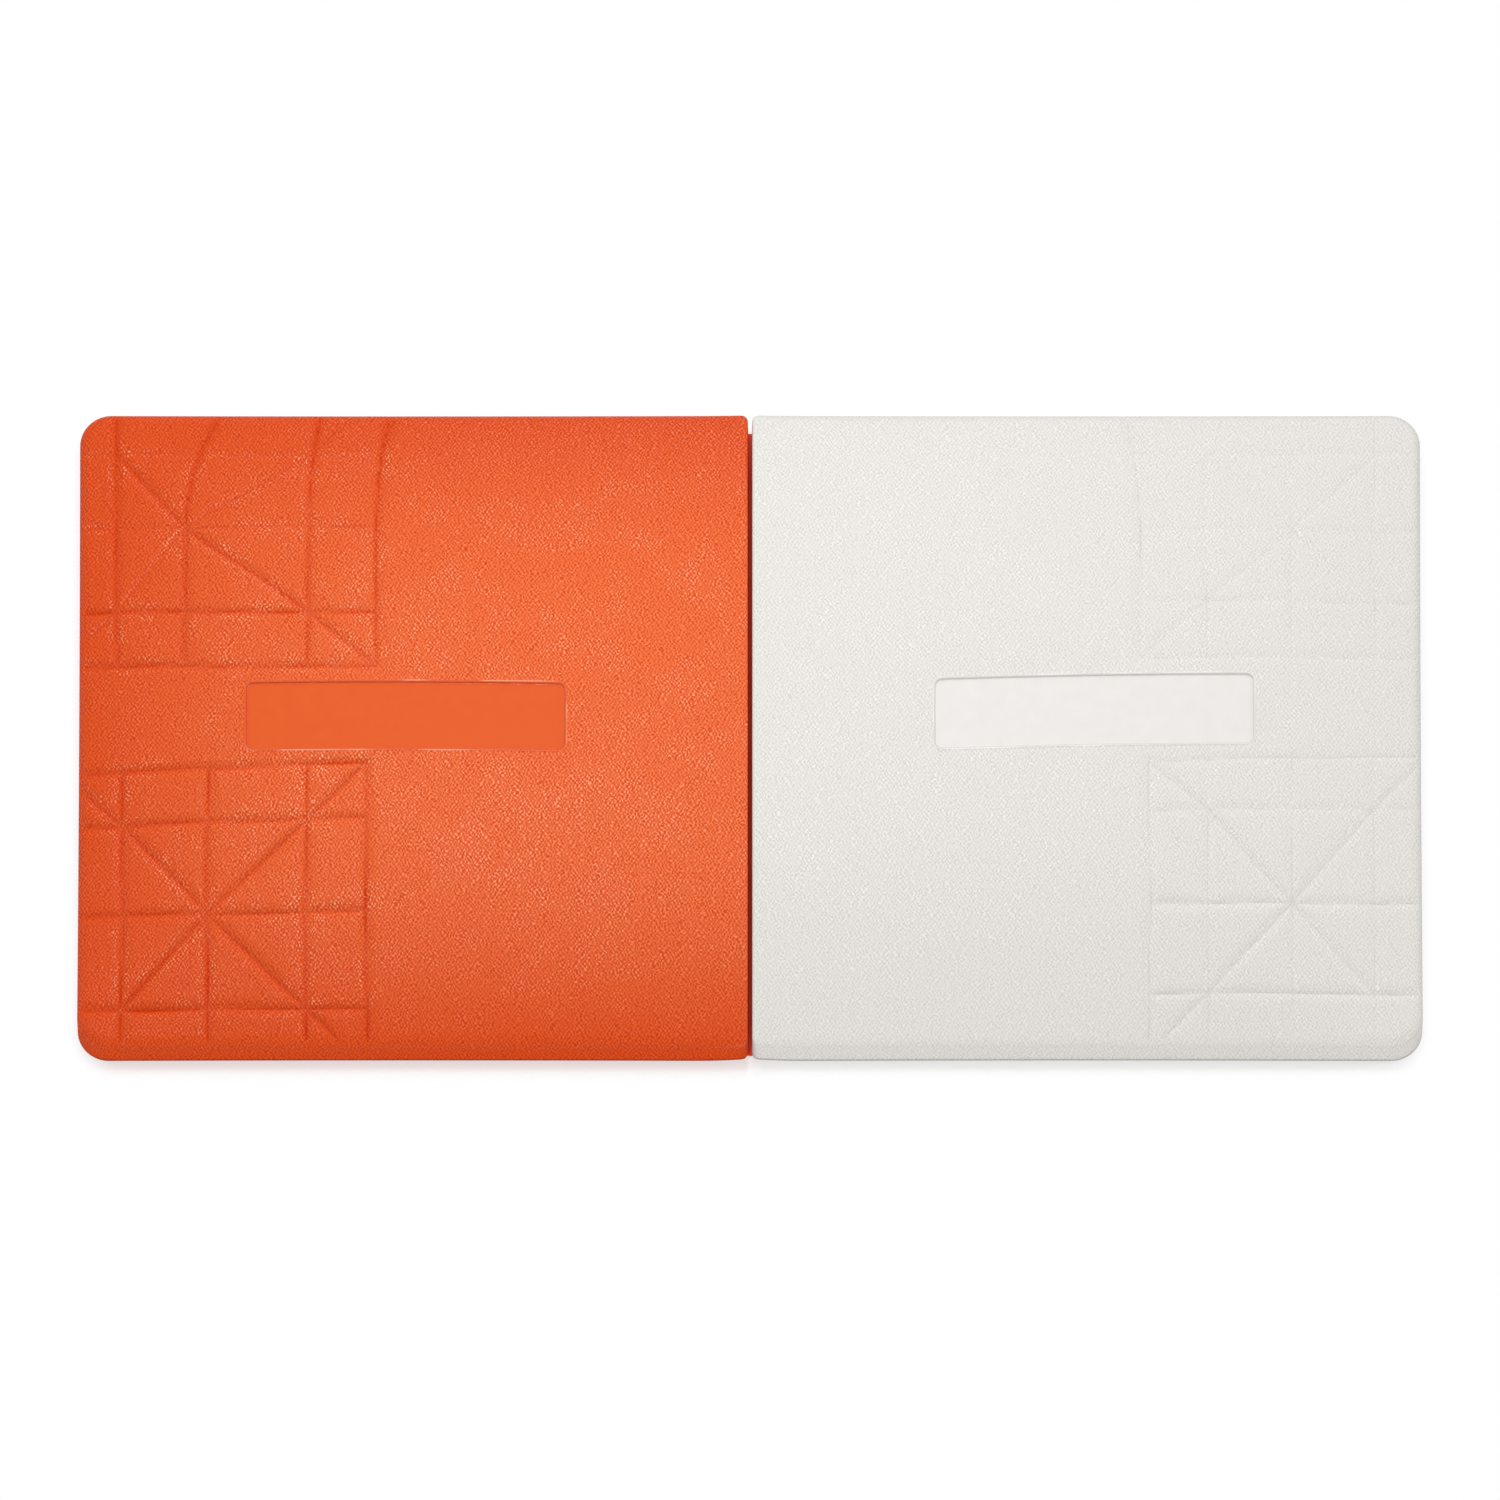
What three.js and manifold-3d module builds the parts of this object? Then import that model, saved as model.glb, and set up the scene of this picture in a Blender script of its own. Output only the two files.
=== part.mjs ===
// Double first base: an orange half and a white half from one mould, joined by a strap under the seam.
// Millimetres, +Z up. The origin is on the ground under the middle of the seam, +X towards the white half.

import * as THREE from 'three';
import { mergeGeometries, mergeVertices } from 'three/addons/utils/BufferGeometryUtils.js';
import Module from 'manifold-3d';

const wasm = await Module();
wasm.setup();

// One half, seen from outside
const SIDE = 381;
const SEAM_GAP = 3;
const EDGE_HEIGHT = 29;
const CROWN_HEIGHT = 56;
const OUTER_CORNER_RADIUS = 18;
const SEAM_CORNER_RADIUS = 5;
const TOP_ROUND = 5;
const SIDE_BOW = 1.2;

// How late the top falls away: from the seam to the outer edge, and from the middle to the front and back
const FALL_ACROSS = 3;
const FALL_ALONG = 2.2;

// Rubber cover: its skin, the lip turned in under it, and the part of the lip that lies on the strap
const SKIN = 4;
const LIP_WIDTH = 28;
const SEAM_LIP_THICK = 4;

// Quilt channels at the two outer corners, measured from the outer edges
const CHANNEL_WIDTH = 5;
const CHANNEL_DEPTH = 1.8;
const CHANNEL_RUN_OUT = 8;
const QUILT_EDGE = 26.5;
const QUILT_PITCH = 51;
const QUILT_BORDER = 33;

// Smooth recessed panel in the middle of the top
const PANEL_LENGTH = 182;
const PANEL_WIDTH = 40;
const PANEL_RADIUS = 5;
const PANEL_DEPTH = 1.2;
const PANEL_FROM_SEAM = 194.5;

// Backing board that takes every screw
const BOARD_THICK = 6;

// Non-slip pad in the lip's opening, with square pockets in its underside
const POCKET_SIZE = 26;
const POCKET_RIB = 9;
const POCKET_DEPTH = 3;

// Steel plate for a bolted stanchion
const PLATE_SIZE = 100;
const PLATE_THICK = 5;
const PLATE_RADIUS = 8;
const PLATE_SCREW_PITCH = 78;
const BOLT_HOLE_RADIUS = 4.2;
const BOLT_HOLE_PITCH = 44;

// Joining strap across the seam
const STRAP_WIDTH = 64;
const STRAP_THICK = 2.2;
const STRAP_RECESS = 0.3;

// Countersunk screws
const SCREW_HEAD_RADIUS = 4.2;
const SCREW_HEAD_HEIGHT = 1.8;
const SCREW_SHANK_RADIUS = 2;
const SCREW_POINT = 2;
const SCREW_SINK = 0.3;
const LIP_SCREWS_PER_SIDE = 3;
const STRAP_SCREWS = 4;

// Clearance between neighbouring pieces
const FIT = 0.3;

// Facets
const CORNER_STEPS = 4;
const ROUND_STEPS = 2;
const PLAIN_STEPS = 4;
const PANEL_STEPS = 4;
const HOLE_STEPS = 8;
const LEAST_RADIUS = 1;
const OVERCUT = 3;

// Heights and places that follow from these sizes
const MIDDLE = SIDE / 2;
const STRAP_SEAT = STRAP_RECESS + STRAP_THICK + FIT;
const LIP_THICK = STRAP_SEAT + SEAM_LIP_THICK;
const BOARD_BASE = LIP_THICK + FIT;
const BOARD_TOP = BOARD_BASE + BOARD_THICK;
const FOAM_BASE = BOARD_TOP + FIT;
const PLATE_BASE = LIP_THICK - PLATE_THICK;
const SCREW_TIP = BOARD_TOP - FIT;
const STRAP_FLANGE = (STRAP_WIDTH - SEAM_GAP) / 2;
const STRAP_END = MIDDLE - SKIN - 2 * FIT;
const SEAM_LIP_WIDTH = STRAP_FLANGE + SKIN;
const LIP_MIDDLE = (SKIN + LIP_WIDTH) / 2;
const STRAP_SCREW_LINE = (SKIN + STRAP_FLANGE) / 2;
const QUILT_GRID = [0, 1, 2].map((step) => QUILT_EDGE + step * QUILT_PITCH);
const QUILT_END = QUILT_GRID[2] + QUILT_BORDER;
const QUILT_LINES = [...QUILT_GRID, QUILT_END];

const FINISH = {
  orange: { color: 0xe5622f, roughness: 0.55, metalness: 0 },
  white: { color: 0xe8e5e0, roughness: 0.6, metalness: 0 },
  foam: { color: 0xd8cba6, roughness: 0.95, metalness: 0 },
  board: { color: 0x3a3c3e, roughness: 0.7, metalness: 0 },
  pad: { color: 0x262626, roughness: 0.85, metalness: 0 },
  strap: { color: 0xc2401f, roughness: 0.7, metalness: 0 },
  steel: { color: 0xb4b8ba, roughness: 0.4, metalness: 1 },
};

// Solids: from a closed geometry, and back again
function solidOf(geometry) {
  const bare = geometry.clone();
  bare.deleteAttribute('normal');
  bare.deleteAttribute('uv');
  const merged = mergeVertices(bare, 1e-4);
  const corners = merged.index.array;
  const triangles = [];
  for (let i = 0; i < corners.length; i += 3) {
    const [a, b, c] = corners.slice(i, i + 3);
    if (a !== b && b !== c && c !== a) triangles.push(a, b, c);
  }
  return new wasm.Manifold(new wasm.Mesh({
    numProp: 3,
    vertProperties: merged.attributes.position.array,
    triVerts: Uint32Array.from(triangles),
  }));
}

function geometryOf(solid) {
  const mesh = solid.getMesh();
  const geometry = new THREE.BufferGeometry();
  geometry.setAttribute('position', new THREE.BufferAttribute(mesh.vertProperties, 3));
  geometry.setIndex(new THREE.BufferAttribute(mesh.triVerts, 1));
  geometry.computeVertexNormals();
  return geometry;
}

function cut(geometry, tools) {
  return geometryOf(tools.reduce((left, tool) => left.subtract(solidOf(tool)), solidOf(geometry)));
}

function piece(name, geometry, finish) {
  const mesh = new THREE.Mesh(geometry, new THREE.MeshStandardMaterial(finish));
  mesh.name = name;
  return mesh;
}

// Faces of the bands between rings of points, and of a fan over one ring, facing down (-1) or up (1)
function bandFaces(faces, rings, count) {
  for (let base = 0; base < (rings - 1) * count; base += count) {
    for (let i = 0; i < count; i += 1) {
      const next = (i + 1) % count;
      faces.push(base + i, base + next, base + count + next);
      faces.push(base + i, base + count + next, base + count + i);
    }
  }
}

function fanFaces(faces, points, ring, base, facing) {
  const middle = ring.reduce((sum, point) => sum.add(point), new THREE.Vector3()).divideScalar(ring.length);
  const hub = points.push(middle) - 1;
  ring.forEach((_, i) => {
    const next = (i + 1) % ring.length;
    if (facing > 0) faces.push(hub, base + i, base + next);
    else faces.push(hub, base + next, base + i);
  });
}

// A closed skin over rings of points, with a fan over the first ring and the last
function skinOver(rings) {
  const count = rings[0].length;
  const points = rings.flat();
  const faces = [];
  bandFaces(faces, rings.length, count);
  fanFaces(faces, points, rings[0], 0, -1);
  fanFaces(faces, points, rings[rings.length - 1], (rings.length - 1) * count, 1);
  return new THREE.BufferGeometry().setFromPoints(points).setIndex(faces);
}

// A flat piece of an outline in plan, from one height to another, with holes as further outlines
function plate(outline, base, top, holes = []) {
  const shape = new THREE.Shape(outline);
  shape.holes = holes.map((hole) => new THREE.Path(hole));
  const geometry = new THREE.ExtrudeGeometry(shape, { depth: top - base, bevelEnabled: false });
  return geometry.translate(0, 0, base);
}

function circle(centre, radius) {
  return Array.from({ length: HOLE_STEPS }, (_, i) => {
    const angle = (2 * Math.PI * (i + 0.5)) / HOLE_STEPS;
    return new THREE.Vector2(centre.x + radius * Math.cos(angle), centre.y + radius * Math.sin(angle));
  });
}

// A rectangle with round corners, anticlockwise from its low corner. Stations are further points on its sides,
// across on the front and back, along on the other two. Each side may draw in at its middle by its bow.
function roundedOutline(low, high, radii, stations = { across: [], along: [] }, bows = [0, 0, 0, 0]) {
  const corners = [[low.x, low.y], [high.x, low.y], [high.x, high.y], [low.x, high.y]];
  const arcs = corners.map(([x, y], i) => {
    const radius = Math.max(radii[i], LEAST_RADIUS);
    const centre = new THREE.Vector2(x === low.x ? x + radius : x - radius, y === low.y ? y + radius : y - radius);
    return Array.from({ length: CORNER_STEPS + 1 }, (_, step) => {
      const angle = Math.PI + (i + step / CORNER_STEPS) * (Math.PI / 2);
      return new THREE.Vector2(Math.cos(angle), Math.sin(angle)).multiplyScalar(radius).add(centre);
    });
  });
  const sides = [
    stations.across.map((x) => new THREE.Vector2(x, low.y)),
    stations.along.map((y) => new THREE.Vector2(high.x, y)),
    stations.across.map((x) => new THREE.Vector2(x, high.y)).reverse(),
    stations.along.map((y) => new THREE.Vector2(low.x, y)).reverse(),
  ];
  return arcs.flatMap((arc, i) => {
    const from = arc[CORNER_STEPS];
    const to = arcs[(i + 1) % 4][0];
    const inward = to.clone().sub(from).normalize().rotateAround(new THREE.Vector2(), Math.PI / 2);
    const side = sides[i].map((point) => {
      const share = point.distanceTo(from) / to.distanceTo(from);
      return point.addScaledVector(inward, bows[i] * 4 * share * (1 - share));
    });
    return [...arc, ...side];
  });
}

function evenly(from, to, count) {
  return Array.from({ length: count }, (_, i) => from + (to - from) * ((i + 0.5) / count));
}

function between(from, to, steps) {
  return Array.from({ length: steps - 1 }, (_, i) => from + (to - from) * ((i + 1) / steps));
}

// Lines of facets over a half's top, kept inside its round corners
function linesOver(across, along) {
  const corner = Math.max(OUTER_CORNER_RADIUS, SEAM_CORNER_RADIUS, SKIN + TOP_ROUND) + LEAST_RADIUS;
  return {
    across: across.filter((x) => x > corner && x < SIDE - corner),
    along: along.filter((y) => Math.abs(y) < MIDDLE - corner),
  };
}

const PLAIN = linesOver(between(0, SIDE, PLAIN_STEPS), between(-MIDDLE, MIDDLE, PLAIN_STEPS));
const QUILTED = linesOver(
  [...between(0, SIDE - QUILT_END, PLAIN_STEPS), ...QUILT_LINES.map((line) => SIDE - line).reverse()],
  [...QUILT_LINES.map((line) => line - MIDDLE), 0, ...QUILT_LINES.map((line) => MIDDLE - line).reverse()],
);

// The half's footprint, set in from its edges: the seam is at x = 0, and y = 0 is its middle
function footprint(inset, seamInset = inset, lines = PLAIN) {
  const low = new THREE.Vector2(seamInset, inset - MIDDLE);
  const high = new THREE.Vector2(SIDE - inset, MIDDLE - inset);
  const outer = OUTER_CORNER_RADIUS - inset;
  const seam = SEAM_CORNER_RADIUS - seamInset;
  const bow = SIDE_BOW * (1 - inset / MIDDLE);
  return roundedOutline(low, high, [seam, outer, outer, seam], lines, [bow, bow, bow, 0]);
}

// Height of the crowned top
function crown(point) {
  const across = 1 - Math.min(1, Math.abs(point.x / SIDE)) ** FALL_ACROSS;
  const along = 1 - Math.min(1, Math.abs(point.y / MIDDLE)) ** FALL_ALONG;
  return EDGE_HEIGHT + (CROWN_HEIGHT - EDGE_HEIGHT) * across * along;
}

function ringAt(outline, height) {
  return outline.map((point) => new THREE.Vector3(point.x, point.y, height(point)));
}

// The crowned block, set in from the outside by one distance on its sides and its top. Rings of points climb
// its walls and round its upper edge, and a grid on the given lines closes the top inside the last ring.
function crownedBlock(inset, base, lines = PLAIN) {
  const round = Math.max(TOP_ROUND - inset, LEAST_RADIUS);
  const shoulder = inset + round;
  const rings = [ringAt(footprint(inset, inset, lines), () => base)];
  for (let step = 0; step <= ROUND_STEPS; step += 1) {
    const angle = (step / ROUND_STEPS) * (Math.PI / 2);
    const outline = footprint(shoulder - round * Math.cos(angle), undefined, lines);
    const drop = inset + round * (1 - Math.sin(angle));
    rings.push(ringAt(outline, (point) => crown(point) - drop));
  }
  const seamTangent = Math.max(SEAM_CORNER_RADIUS, shoulder + LEAST_RADIUS);
  const outerTangent = Math.max(OUTER_CORNER_RADIUS, shoulder + LEAST_RADIUS);
  const columns = [seamTangent, ...lines.across, SIDE - outerTangent];
  const rows = (x) => {
    const tangent = THREE.MathUtils.mapLinear(x, seamTangent, SIDE - outerTangent, seamTangent, outerTangent);
    return [tangent - MIDDLE, ...lines.along, MIDDLE - tangent];
  };
  const inner = columns.map((x) => rows(x).map((y) => new THREE.Vector3(x, y, crown({ x, y }) - inset)));
  return gridClosed(rings, inner);
}

// A closed skin over rings of points: a fan below the first, and a grid of inner points within the last. The
// last ring is a rounded outline, so its corner arcs close on the grid's corners as fans.
function gridClosed(rings, inner) {
  const count = rings[0].length;
  const columns = inner.length;
  const rows = inner[0].length;
  const points = [...rings.flat(), ...inner.flat()];
  const rim = (rings.length - 1) * count;
  const front = CORNER_STEPS;
  const outer = front + columns - 1 + CORNER_STEPS;
  const back = outer + rows - 1 + CORNER_STEPS;
  const seam = back + columns - 1 + CORNER_STEPS;
  const at = (i, j) => {
    if (j < 0) return rim + front + i;
    if (i === columns) return rim + outer + j;
    if (j === rows) return rim + back + columns - 1 - i;
    if (i < 0) return rim + ((seam + rows - 1 - j) % count);
    return rim + count + i * rows + j;
  };
  const faces = [];
  bandFaces(faces, rings.length, count);
  fanFaces(faces, points, rings[0], 0, -1);
  for (let i = -1; i < columns; i += 1) {
    for (let j = -1; j < rows; j += 1) {
      const corner = (i < 0 || i === columns - 1) && (j < 0 || j === rows - 1);
      const [a, b, c, d] = [at(i, j), at(i + 1, j), at(i + 1, j + 1), at(i, j + 1)];
      if (!corner && (i + j) % 2 === 0) faces.push(a, b, c, a, c, d);
      if (!corner && (i + j) % 2 !== 0) faces.push(a, b, d, b, c, d);
    }
  }
  const arcs = [[0, 0, 0], [outer - CORNER_STEPS, columns - 1, 0], [back - CORNER_STEPS, columns - 1, rows - 1],
    [seam - CORNER_STEPS, 0, rows - 1]];
  arcs.forEach(([start, i, j]) => {
    for (let step = start; step < start + CORNER_STEPS; step += 1) {
      faces.push(at(i, j), rim + step, rim + step + 1);
    }
  });
  return new THREE.BufferGeometry().setFromPoints(points).setIndex(faces);
}

// A V-shaped channel pressed into the top along points in plan that lie on one line
function channel(path) {
  const start = path[0];
  const along = path[path.length - 1].clone().sub(start).normalize();
  const across = along.clone().rotateAround(new THREE.Vector2(), Math.PI / 2);
  const reach = (CHANNEL_WIDTH / 2) * (1 + OVERCUT / CHANNEL_DEPTH);
  return skinOver(path.map((point) => {
    const height = crown(point);
    const corner = (side, rise) => {
      const place = point.clone().addScaledVector(across, side);
      return new THREE.Vector3(place.x, place.y, height + rise);
    };
    return [corner(0, -CHANNEL_DEPTH), corner(reach, OVERCUT), corner(-reach, OVERCUT)];
  }));
}

// Channels of one outer corner: a square grid, its border, and two diagonals that cross in its middle
function quilt(end) {
  const place = (fromOuter, fromEnd) => new THREE.Vector2(SIDE - fromOuter, end * (MIDDLE - fromEnd));
  const stops = [CHANNEL_RUN_OUT, ...QUILT_LINES];
  const lines = QUILT_LINES.flatMap((line) => [
    channel(stops.map((stop) => place(line, stop))),
    channel(stops.map((stop) => place(stop, line))),
  ]);
  const crossing = [CHANNEL_RUN_OUT, ...QUILT_GRID, 2 * QUILT_GRID[1] - CHANNEL_RUN_OUT];
  const diagonals = [
    channel([QUILT_EDGE / 2, ...QUILT_LINES].map((stop) => place(stop, stop))),
    channel(crossing.map((stop) => place(stop, 2 * QUILT_GRID[1] - stop))),
  ];
  return [...lines, ...diagonals];
}

// The panel's recess, which keeps the crown of the top
function panelRecess() {
  const outline = (inset) => {
    const low = new THREE.Vector2(PANEL_FROM_SEAM - PANEL_LENGTH / 2 + inset, inset - PANEL_WIDTH / 2);
    const high = new THREE.Vector2(PANEL_FROM_SEAM + PANEL_LENGTH / 2 - inset, PANEL_WIDTH / 2 - inset);
    const stations = { across: between(low.x, high.x, PANEL_STEPS), along: [] };
    return roundedOutline(low, high, Array(4).fill(PANEL_RADIUS - inset), stations);
  };
  return skinOver([
    ringAt(outline(PANEL_WIDTH / 4), (point) => crown(point) - PANEL_DEPTH),
    ringAt(outline(0), (point) => crown(point) - PANEL_DEPTH),
    ringAt(outline(0), (point) => crown(point) + OVERCUT),
  ]);
}

// A countersunk screw, point up, and the hole that it goes into
function turned(profile) {
  const points = profile.map(([radius, height]) => new THREE.Vector2(radius, height));
  return new THREE.LatheGeometry(points, HOLE_STEPS).rotateX(Math.PI / 2);
}

function screw(length) {
  return turned([
    [0, 0],
    [SCREW_HEAD_RADIUS, 0],
    [SCREW_SHANK_RADIUS, SCREW_HEAD_HEIGHT],
    [SCREW_SHANK_RADIUS, length - SCREW_POINT],
    [0, length],
  ]);
}

function screwHole(length) {
  return turned([
    [0, -OVERCUT],
    [SCREW_HEAD_RADIUS + FIT, -OVERCUT],
    [SCREW_HEAD_RADIUS + FIT, 0],
    [SCREW_SHANK_RADIUS + FIT, SCREW_HEAD_HEIGHT],
    [SCREW_SHANK_RADIUS + FIT, length],
    [0, length],
  ]);
}

function moved(geometry, place, height) {
  return geometry.translate(place.x, place.y, height);
}

// Screw places in one half
const lipScrewPlaces = [
  ...evenly(0, SIDE, LIP_SCREWS_PER_SIDE).map((x) => new THREE.Vector2(x, LIP_MIDDLE - MIDDLE)),
  ...evenly(-MIDDLE, MIDDLE, LIP_SCREWS_PER_SIDE).map((y) => new THREE.Vector2(SIDE - LIP_MIDDLE, y)),
  ...evenly(0, SIDE, LIP_SCREWS_PER_SIDE).map((x) => new THREE.Vector2(x, MIDDLE - LIP_MIDDLE)),
];

const strapScrewPlaces = evenly(-MIDDLE, MIDDLE, STRAP_SCREWS).map((y) => new THREE.Vector2(STRAP_SCREW_LINE, y));

function squareOf(pitch) {
  const corners = [[-1, -1], [1, -1], [1, 1], [-1, 1]];
  return corners.map(([x, y]) => new THREE.Vector2(MIDDLE + (x * pitch) / 2, (y * pitch) / 2));
}

const plateScrewPlaces = squareOf(PLATE_SCREW_PITCH);

// Cover: a crowned rubber shell, open below inside its lip
function cover() {
  const opening = plate(footprint(LIP_WIDTH, SEAM_LIP_WIDTH), -OVERCUT, LIP_THICK + OVERCUT);
  const strapSeat = new THREE.BoxGeometry(2 * (STRAP_FLANGE + FIT), 2 * (MIDDLE - SKIN - FIT), 2 * STRAP_SEAT);
  return cut(crownedBlock(0, 0, QUILTED), [
    crownedBlock(SKIN, LIP_THICK),
    opening,
    strapSeat,
    ...lipScrewPlaces.map((place) => moved(screwHole(BOARD_TOP), place, SCREW_SINK)),
    ...strapScrewPlaces.map((place) => moved(screwHole(BOARD_TOP), place, STRAP_RECESS + SCREW_SINK)),
    ...quilt(-1),
    ...quilt(1),
    panelRecess(),
  ]);
}

// Backing board: lies on the lip and carries every screw
function backingBoard() {
  const places = [...lipScrewPlaces, ...strapScrewPlaces, ...plateScrewPlaces];
  const holes = places.map((place) => circle(place, SCREW_SHANK_RADIUS + FIT));
  return plate(footprint(SKIN + FIT), BOARD_BASE, BOARD_TOP, holes);
}

function plateOutline(grow) {
  const reach = PLATE_SIZE / 2 + grow;
  const low = new THREE.Vector2(MIDDLE - reach, -reach);
  const high = new THREE.Vector2(MIDDLE + reach, reach);
  return roundedOutline(low, high, Array(4).fill(PLATE_RADIUS + grow));
}

// Non-slip pad: fills the lip's opening round the plate, with rows of pockets between ribs
function bottomPad() {
  const low = new THREE.Vector2(SEAM_LIP_WIDTH + FIT, LIP_WIDTH + FIT - MIDDLE);
  const high = new THREE.Vector2(SIDE - LIP_WIDTH - FIT, MIDDLE - LIP_WIDTH - FIT);
  const pitch = POCKET_SIZE + POCKET_RIB;
  const keepOff = PLATE_SIZE / 2 + FIT + POCKET_RIB + POCKET_SIZE / 2;
  const row = (from, to) => {
    const room = to - from - POCKET_RIB - 2 * SIDE_BOW;
    const count = Math.floor(room / pitch);
    return Array.from({ length: count }, (_, i) => (from + to) / 2 + (i - (count - 1) / 2) * pitch);
  };
  const pockets = row(low.x, high.x).flatMap((x) => row(low.y, high.y)
    .filter((y) => Math.max(Math.abs(x - MIDDLE), Math.abs(y)) >= keepOff)
    .map((y) => new THREE.BoxGeometry(POCKET_SIZE, POCKET_SIZE, 2 * POCKET_DEPTH).translate(x, y, 0)));
  const slab = plate(footprint(LIP_WIDTH + FIT, SEAM_LIP_WIDTH + FIT), 0, LIP_THICK, [plateOutline(FIT)]);
  return cut(slab, [mergeGeometries(pockets)]);
}

// Steel plate: screwed up into the board, with four holes for a stanchion's bolts
function stanchionPlate() {
  const boltHoles = squareOf(BOLT_HOLE_PITCH).map((place) => circle(place, BOLT_HOLE_RADIUS));
  const holes = plateScrewPlaces.map((place) => moved(screwHole(BOARD_TOP), place, PLATE_BASE + SCREW_SINK));
  return cut(plate(plateOutline(0), PLATE_BASE, LIP_THICK, boltHoles), holes);
}

// Joining strap: a flange under each half, and a tongue along the seam to the front and back edges
function joiningStrap() {
  const flange = STRAP_WIDTH / 2;
  const tongue = SEAM_GAP / 2 - FIT;
  const tip = MIDDLE - FIT;
  const quarter = [[flange, STRAP_END], [tongue, STRAP_END], [tongue, tip]];
  const turn = (x, y) => quarter.map(([a, b]) => new THREE.Vector2(a * x, b * y));
  const outline = [...turn(1, 1), ...turn(-1, 1).reverse(), ...turn(-1, -1), ...turn(1, -1).reverse()];
  const strap = plate(outline, STRAP_RECESS, STRAP_RECESS + STRAP_THICK);
  const holes = strapScrewPlaces.flatMap((place) => [1, -1].map((side) => {
    const spot = new THREE.Vector2(side * (place.x + SEAM_GAP / 2), place.y);
    return moved(screwHole(BOARD_TOP), spot, STRAP_RECESS + SCREW_SINK);
  }));
  return cut(strap, holes);
}

function screws(name, places, head) {
  const shaft = geometryOf(solidOf(screw(SCREW_TIP - head)));
  return places.map((place, i) => {
    const mesh = piece(`${name}_${i + 1}`, shaft, FINISH.steel);
    mesh.position.set(place.x, place.y, head);
    return mesh;
  });
}

// One half with its seam at x = 0
function half(name) {
  const group = new THREE.Group();
  group.add(piece(`${name}_cover`, cover(), FINISH[name]));
  group.add(piece(`${name}_foam_core`, crownedBlock(SKIN + FIT, FOAM_BASE), FINISH.foam));
  group.add(piece(`${name}_backing_board`, backingBoard(), FINISH.board));
  group.add(piece(`${name}_bottom_pad`, bottomPad(), FINISH.pad));
  group.add(piece(`${name}_stanchion_plate`, stanchionPlate(), FINISH.steel));
  group.add(...screws(`${name}_lip_screw`, lipScrewPlaces, SCREW_SINK));
  group.add(...screws(`${name}_strap_screw`, strapScrewPlaces, STRAP_RECESS + SCREW_SINK));
  group.add(...screws(`${name}_plate_screw`, plateScrewPlaces, PLATE_BASE + SCREW_SINK));
  return group;
}

const white = half('white');
white.position.x = SEAM_GAP / 2;

const orange = half('orange');
orange.rotation.z = Math.PI;
orange.position.x = -SEAM_GAP / 2;

const base = new THREE.Group();
base.add(white, orange, piece('joining_strap', joiningStrap(), FINISH.strap));

export default base;
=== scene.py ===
"""Looks of a double first base: two crowned rubber halves on a strap, in metres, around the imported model."""

import math
from collections import namedtuple

import bmesh
import bpy
import numpy as np
from mathutils import Matrix, Vector


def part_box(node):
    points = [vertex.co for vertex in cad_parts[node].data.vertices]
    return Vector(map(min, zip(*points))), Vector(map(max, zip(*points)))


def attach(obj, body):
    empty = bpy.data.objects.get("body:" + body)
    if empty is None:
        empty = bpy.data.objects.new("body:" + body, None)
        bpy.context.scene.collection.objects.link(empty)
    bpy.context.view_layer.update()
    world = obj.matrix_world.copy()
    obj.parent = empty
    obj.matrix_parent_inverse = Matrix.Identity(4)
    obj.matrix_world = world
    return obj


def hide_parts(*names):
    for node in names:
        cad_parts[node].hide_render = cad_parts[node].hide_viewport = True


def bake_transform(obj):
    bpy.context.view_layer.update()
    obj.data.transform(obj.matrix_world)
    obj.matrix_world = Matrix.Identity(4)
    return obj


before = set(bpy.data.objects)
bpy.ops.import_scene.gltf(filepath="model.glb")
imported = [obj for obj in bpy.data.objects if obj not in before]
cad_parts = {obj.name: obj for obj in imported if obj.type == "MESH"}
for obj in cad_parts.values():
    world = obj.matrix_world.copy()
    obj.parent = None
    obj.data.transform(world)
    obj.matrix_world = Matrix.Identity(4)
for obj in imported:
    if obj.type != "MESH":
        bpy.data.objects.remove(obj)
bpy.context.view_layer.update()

MM = 0.001
HALVES = ("white", "orange")
ENDS = ("back", "front")

# Each half is made in the white one's place, and the orange one is then turned round by half a turn
TURNS = {"white": Matrix.Identity(4), "orange": Matrix.Rotation(math.pi, 4, "Z")}

# Sizes from the frame, on the white half
COVER_LOW, COVER_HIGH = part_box("white_cover")
FOAM_LOW, FOAM_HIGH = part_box("white_foam_core")
BOARD_LOW, BOARD_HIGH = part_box("white_backing_board")
PAD_LOW, PAD_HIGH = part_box("white_bottom_pad")
PLATE_LOW, PLATE_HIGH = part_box("white_stanchion_plate")
STRAP_LOW, STRAP_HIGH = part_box("joining_strap")
SCREW_LOW, SCREW_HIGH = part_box("white_lip_screw_1")

FIT = 0.3 * MM
SEAM = COVER_LOW.x
SIDE = COVER_HIGH.x - COVER_LOW.x
MIDDLE = COVER_HIGH.y
CROWN_HEIGHT = COVER_HIGH.z
SKIN = COVER_HIGH.x - FOAM_HIGH.x - FIT
LIP_THICK = BOARD_LOW.z - FIT

# Form of the covers
EDGE_HEIGHT = 29 * MM
FALL_ACROSS = 3.0
FALL_ALONG = 2.2
OUTER_CORNER = 18 * MM
SEAM_CORNER = 3.5 * MM
FREE_ROUND = 6 * MM
SEAM_ROUND = 1.5 * MM
SEAM_DRAFT = 0.2 * MM
SEAM_DRAW = 1.2 * MM
ROUND_CHANGE = 30 * MM
FOOT_ROUND = 1.2 * MM
SIDE_BOW = 0.4 * MM
ROUND_ROWS = 9
WALL_ROWS = 4
INNER_ROUND = 1.5 * MM
LEAST_CORNER = 1 * MM

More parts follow.
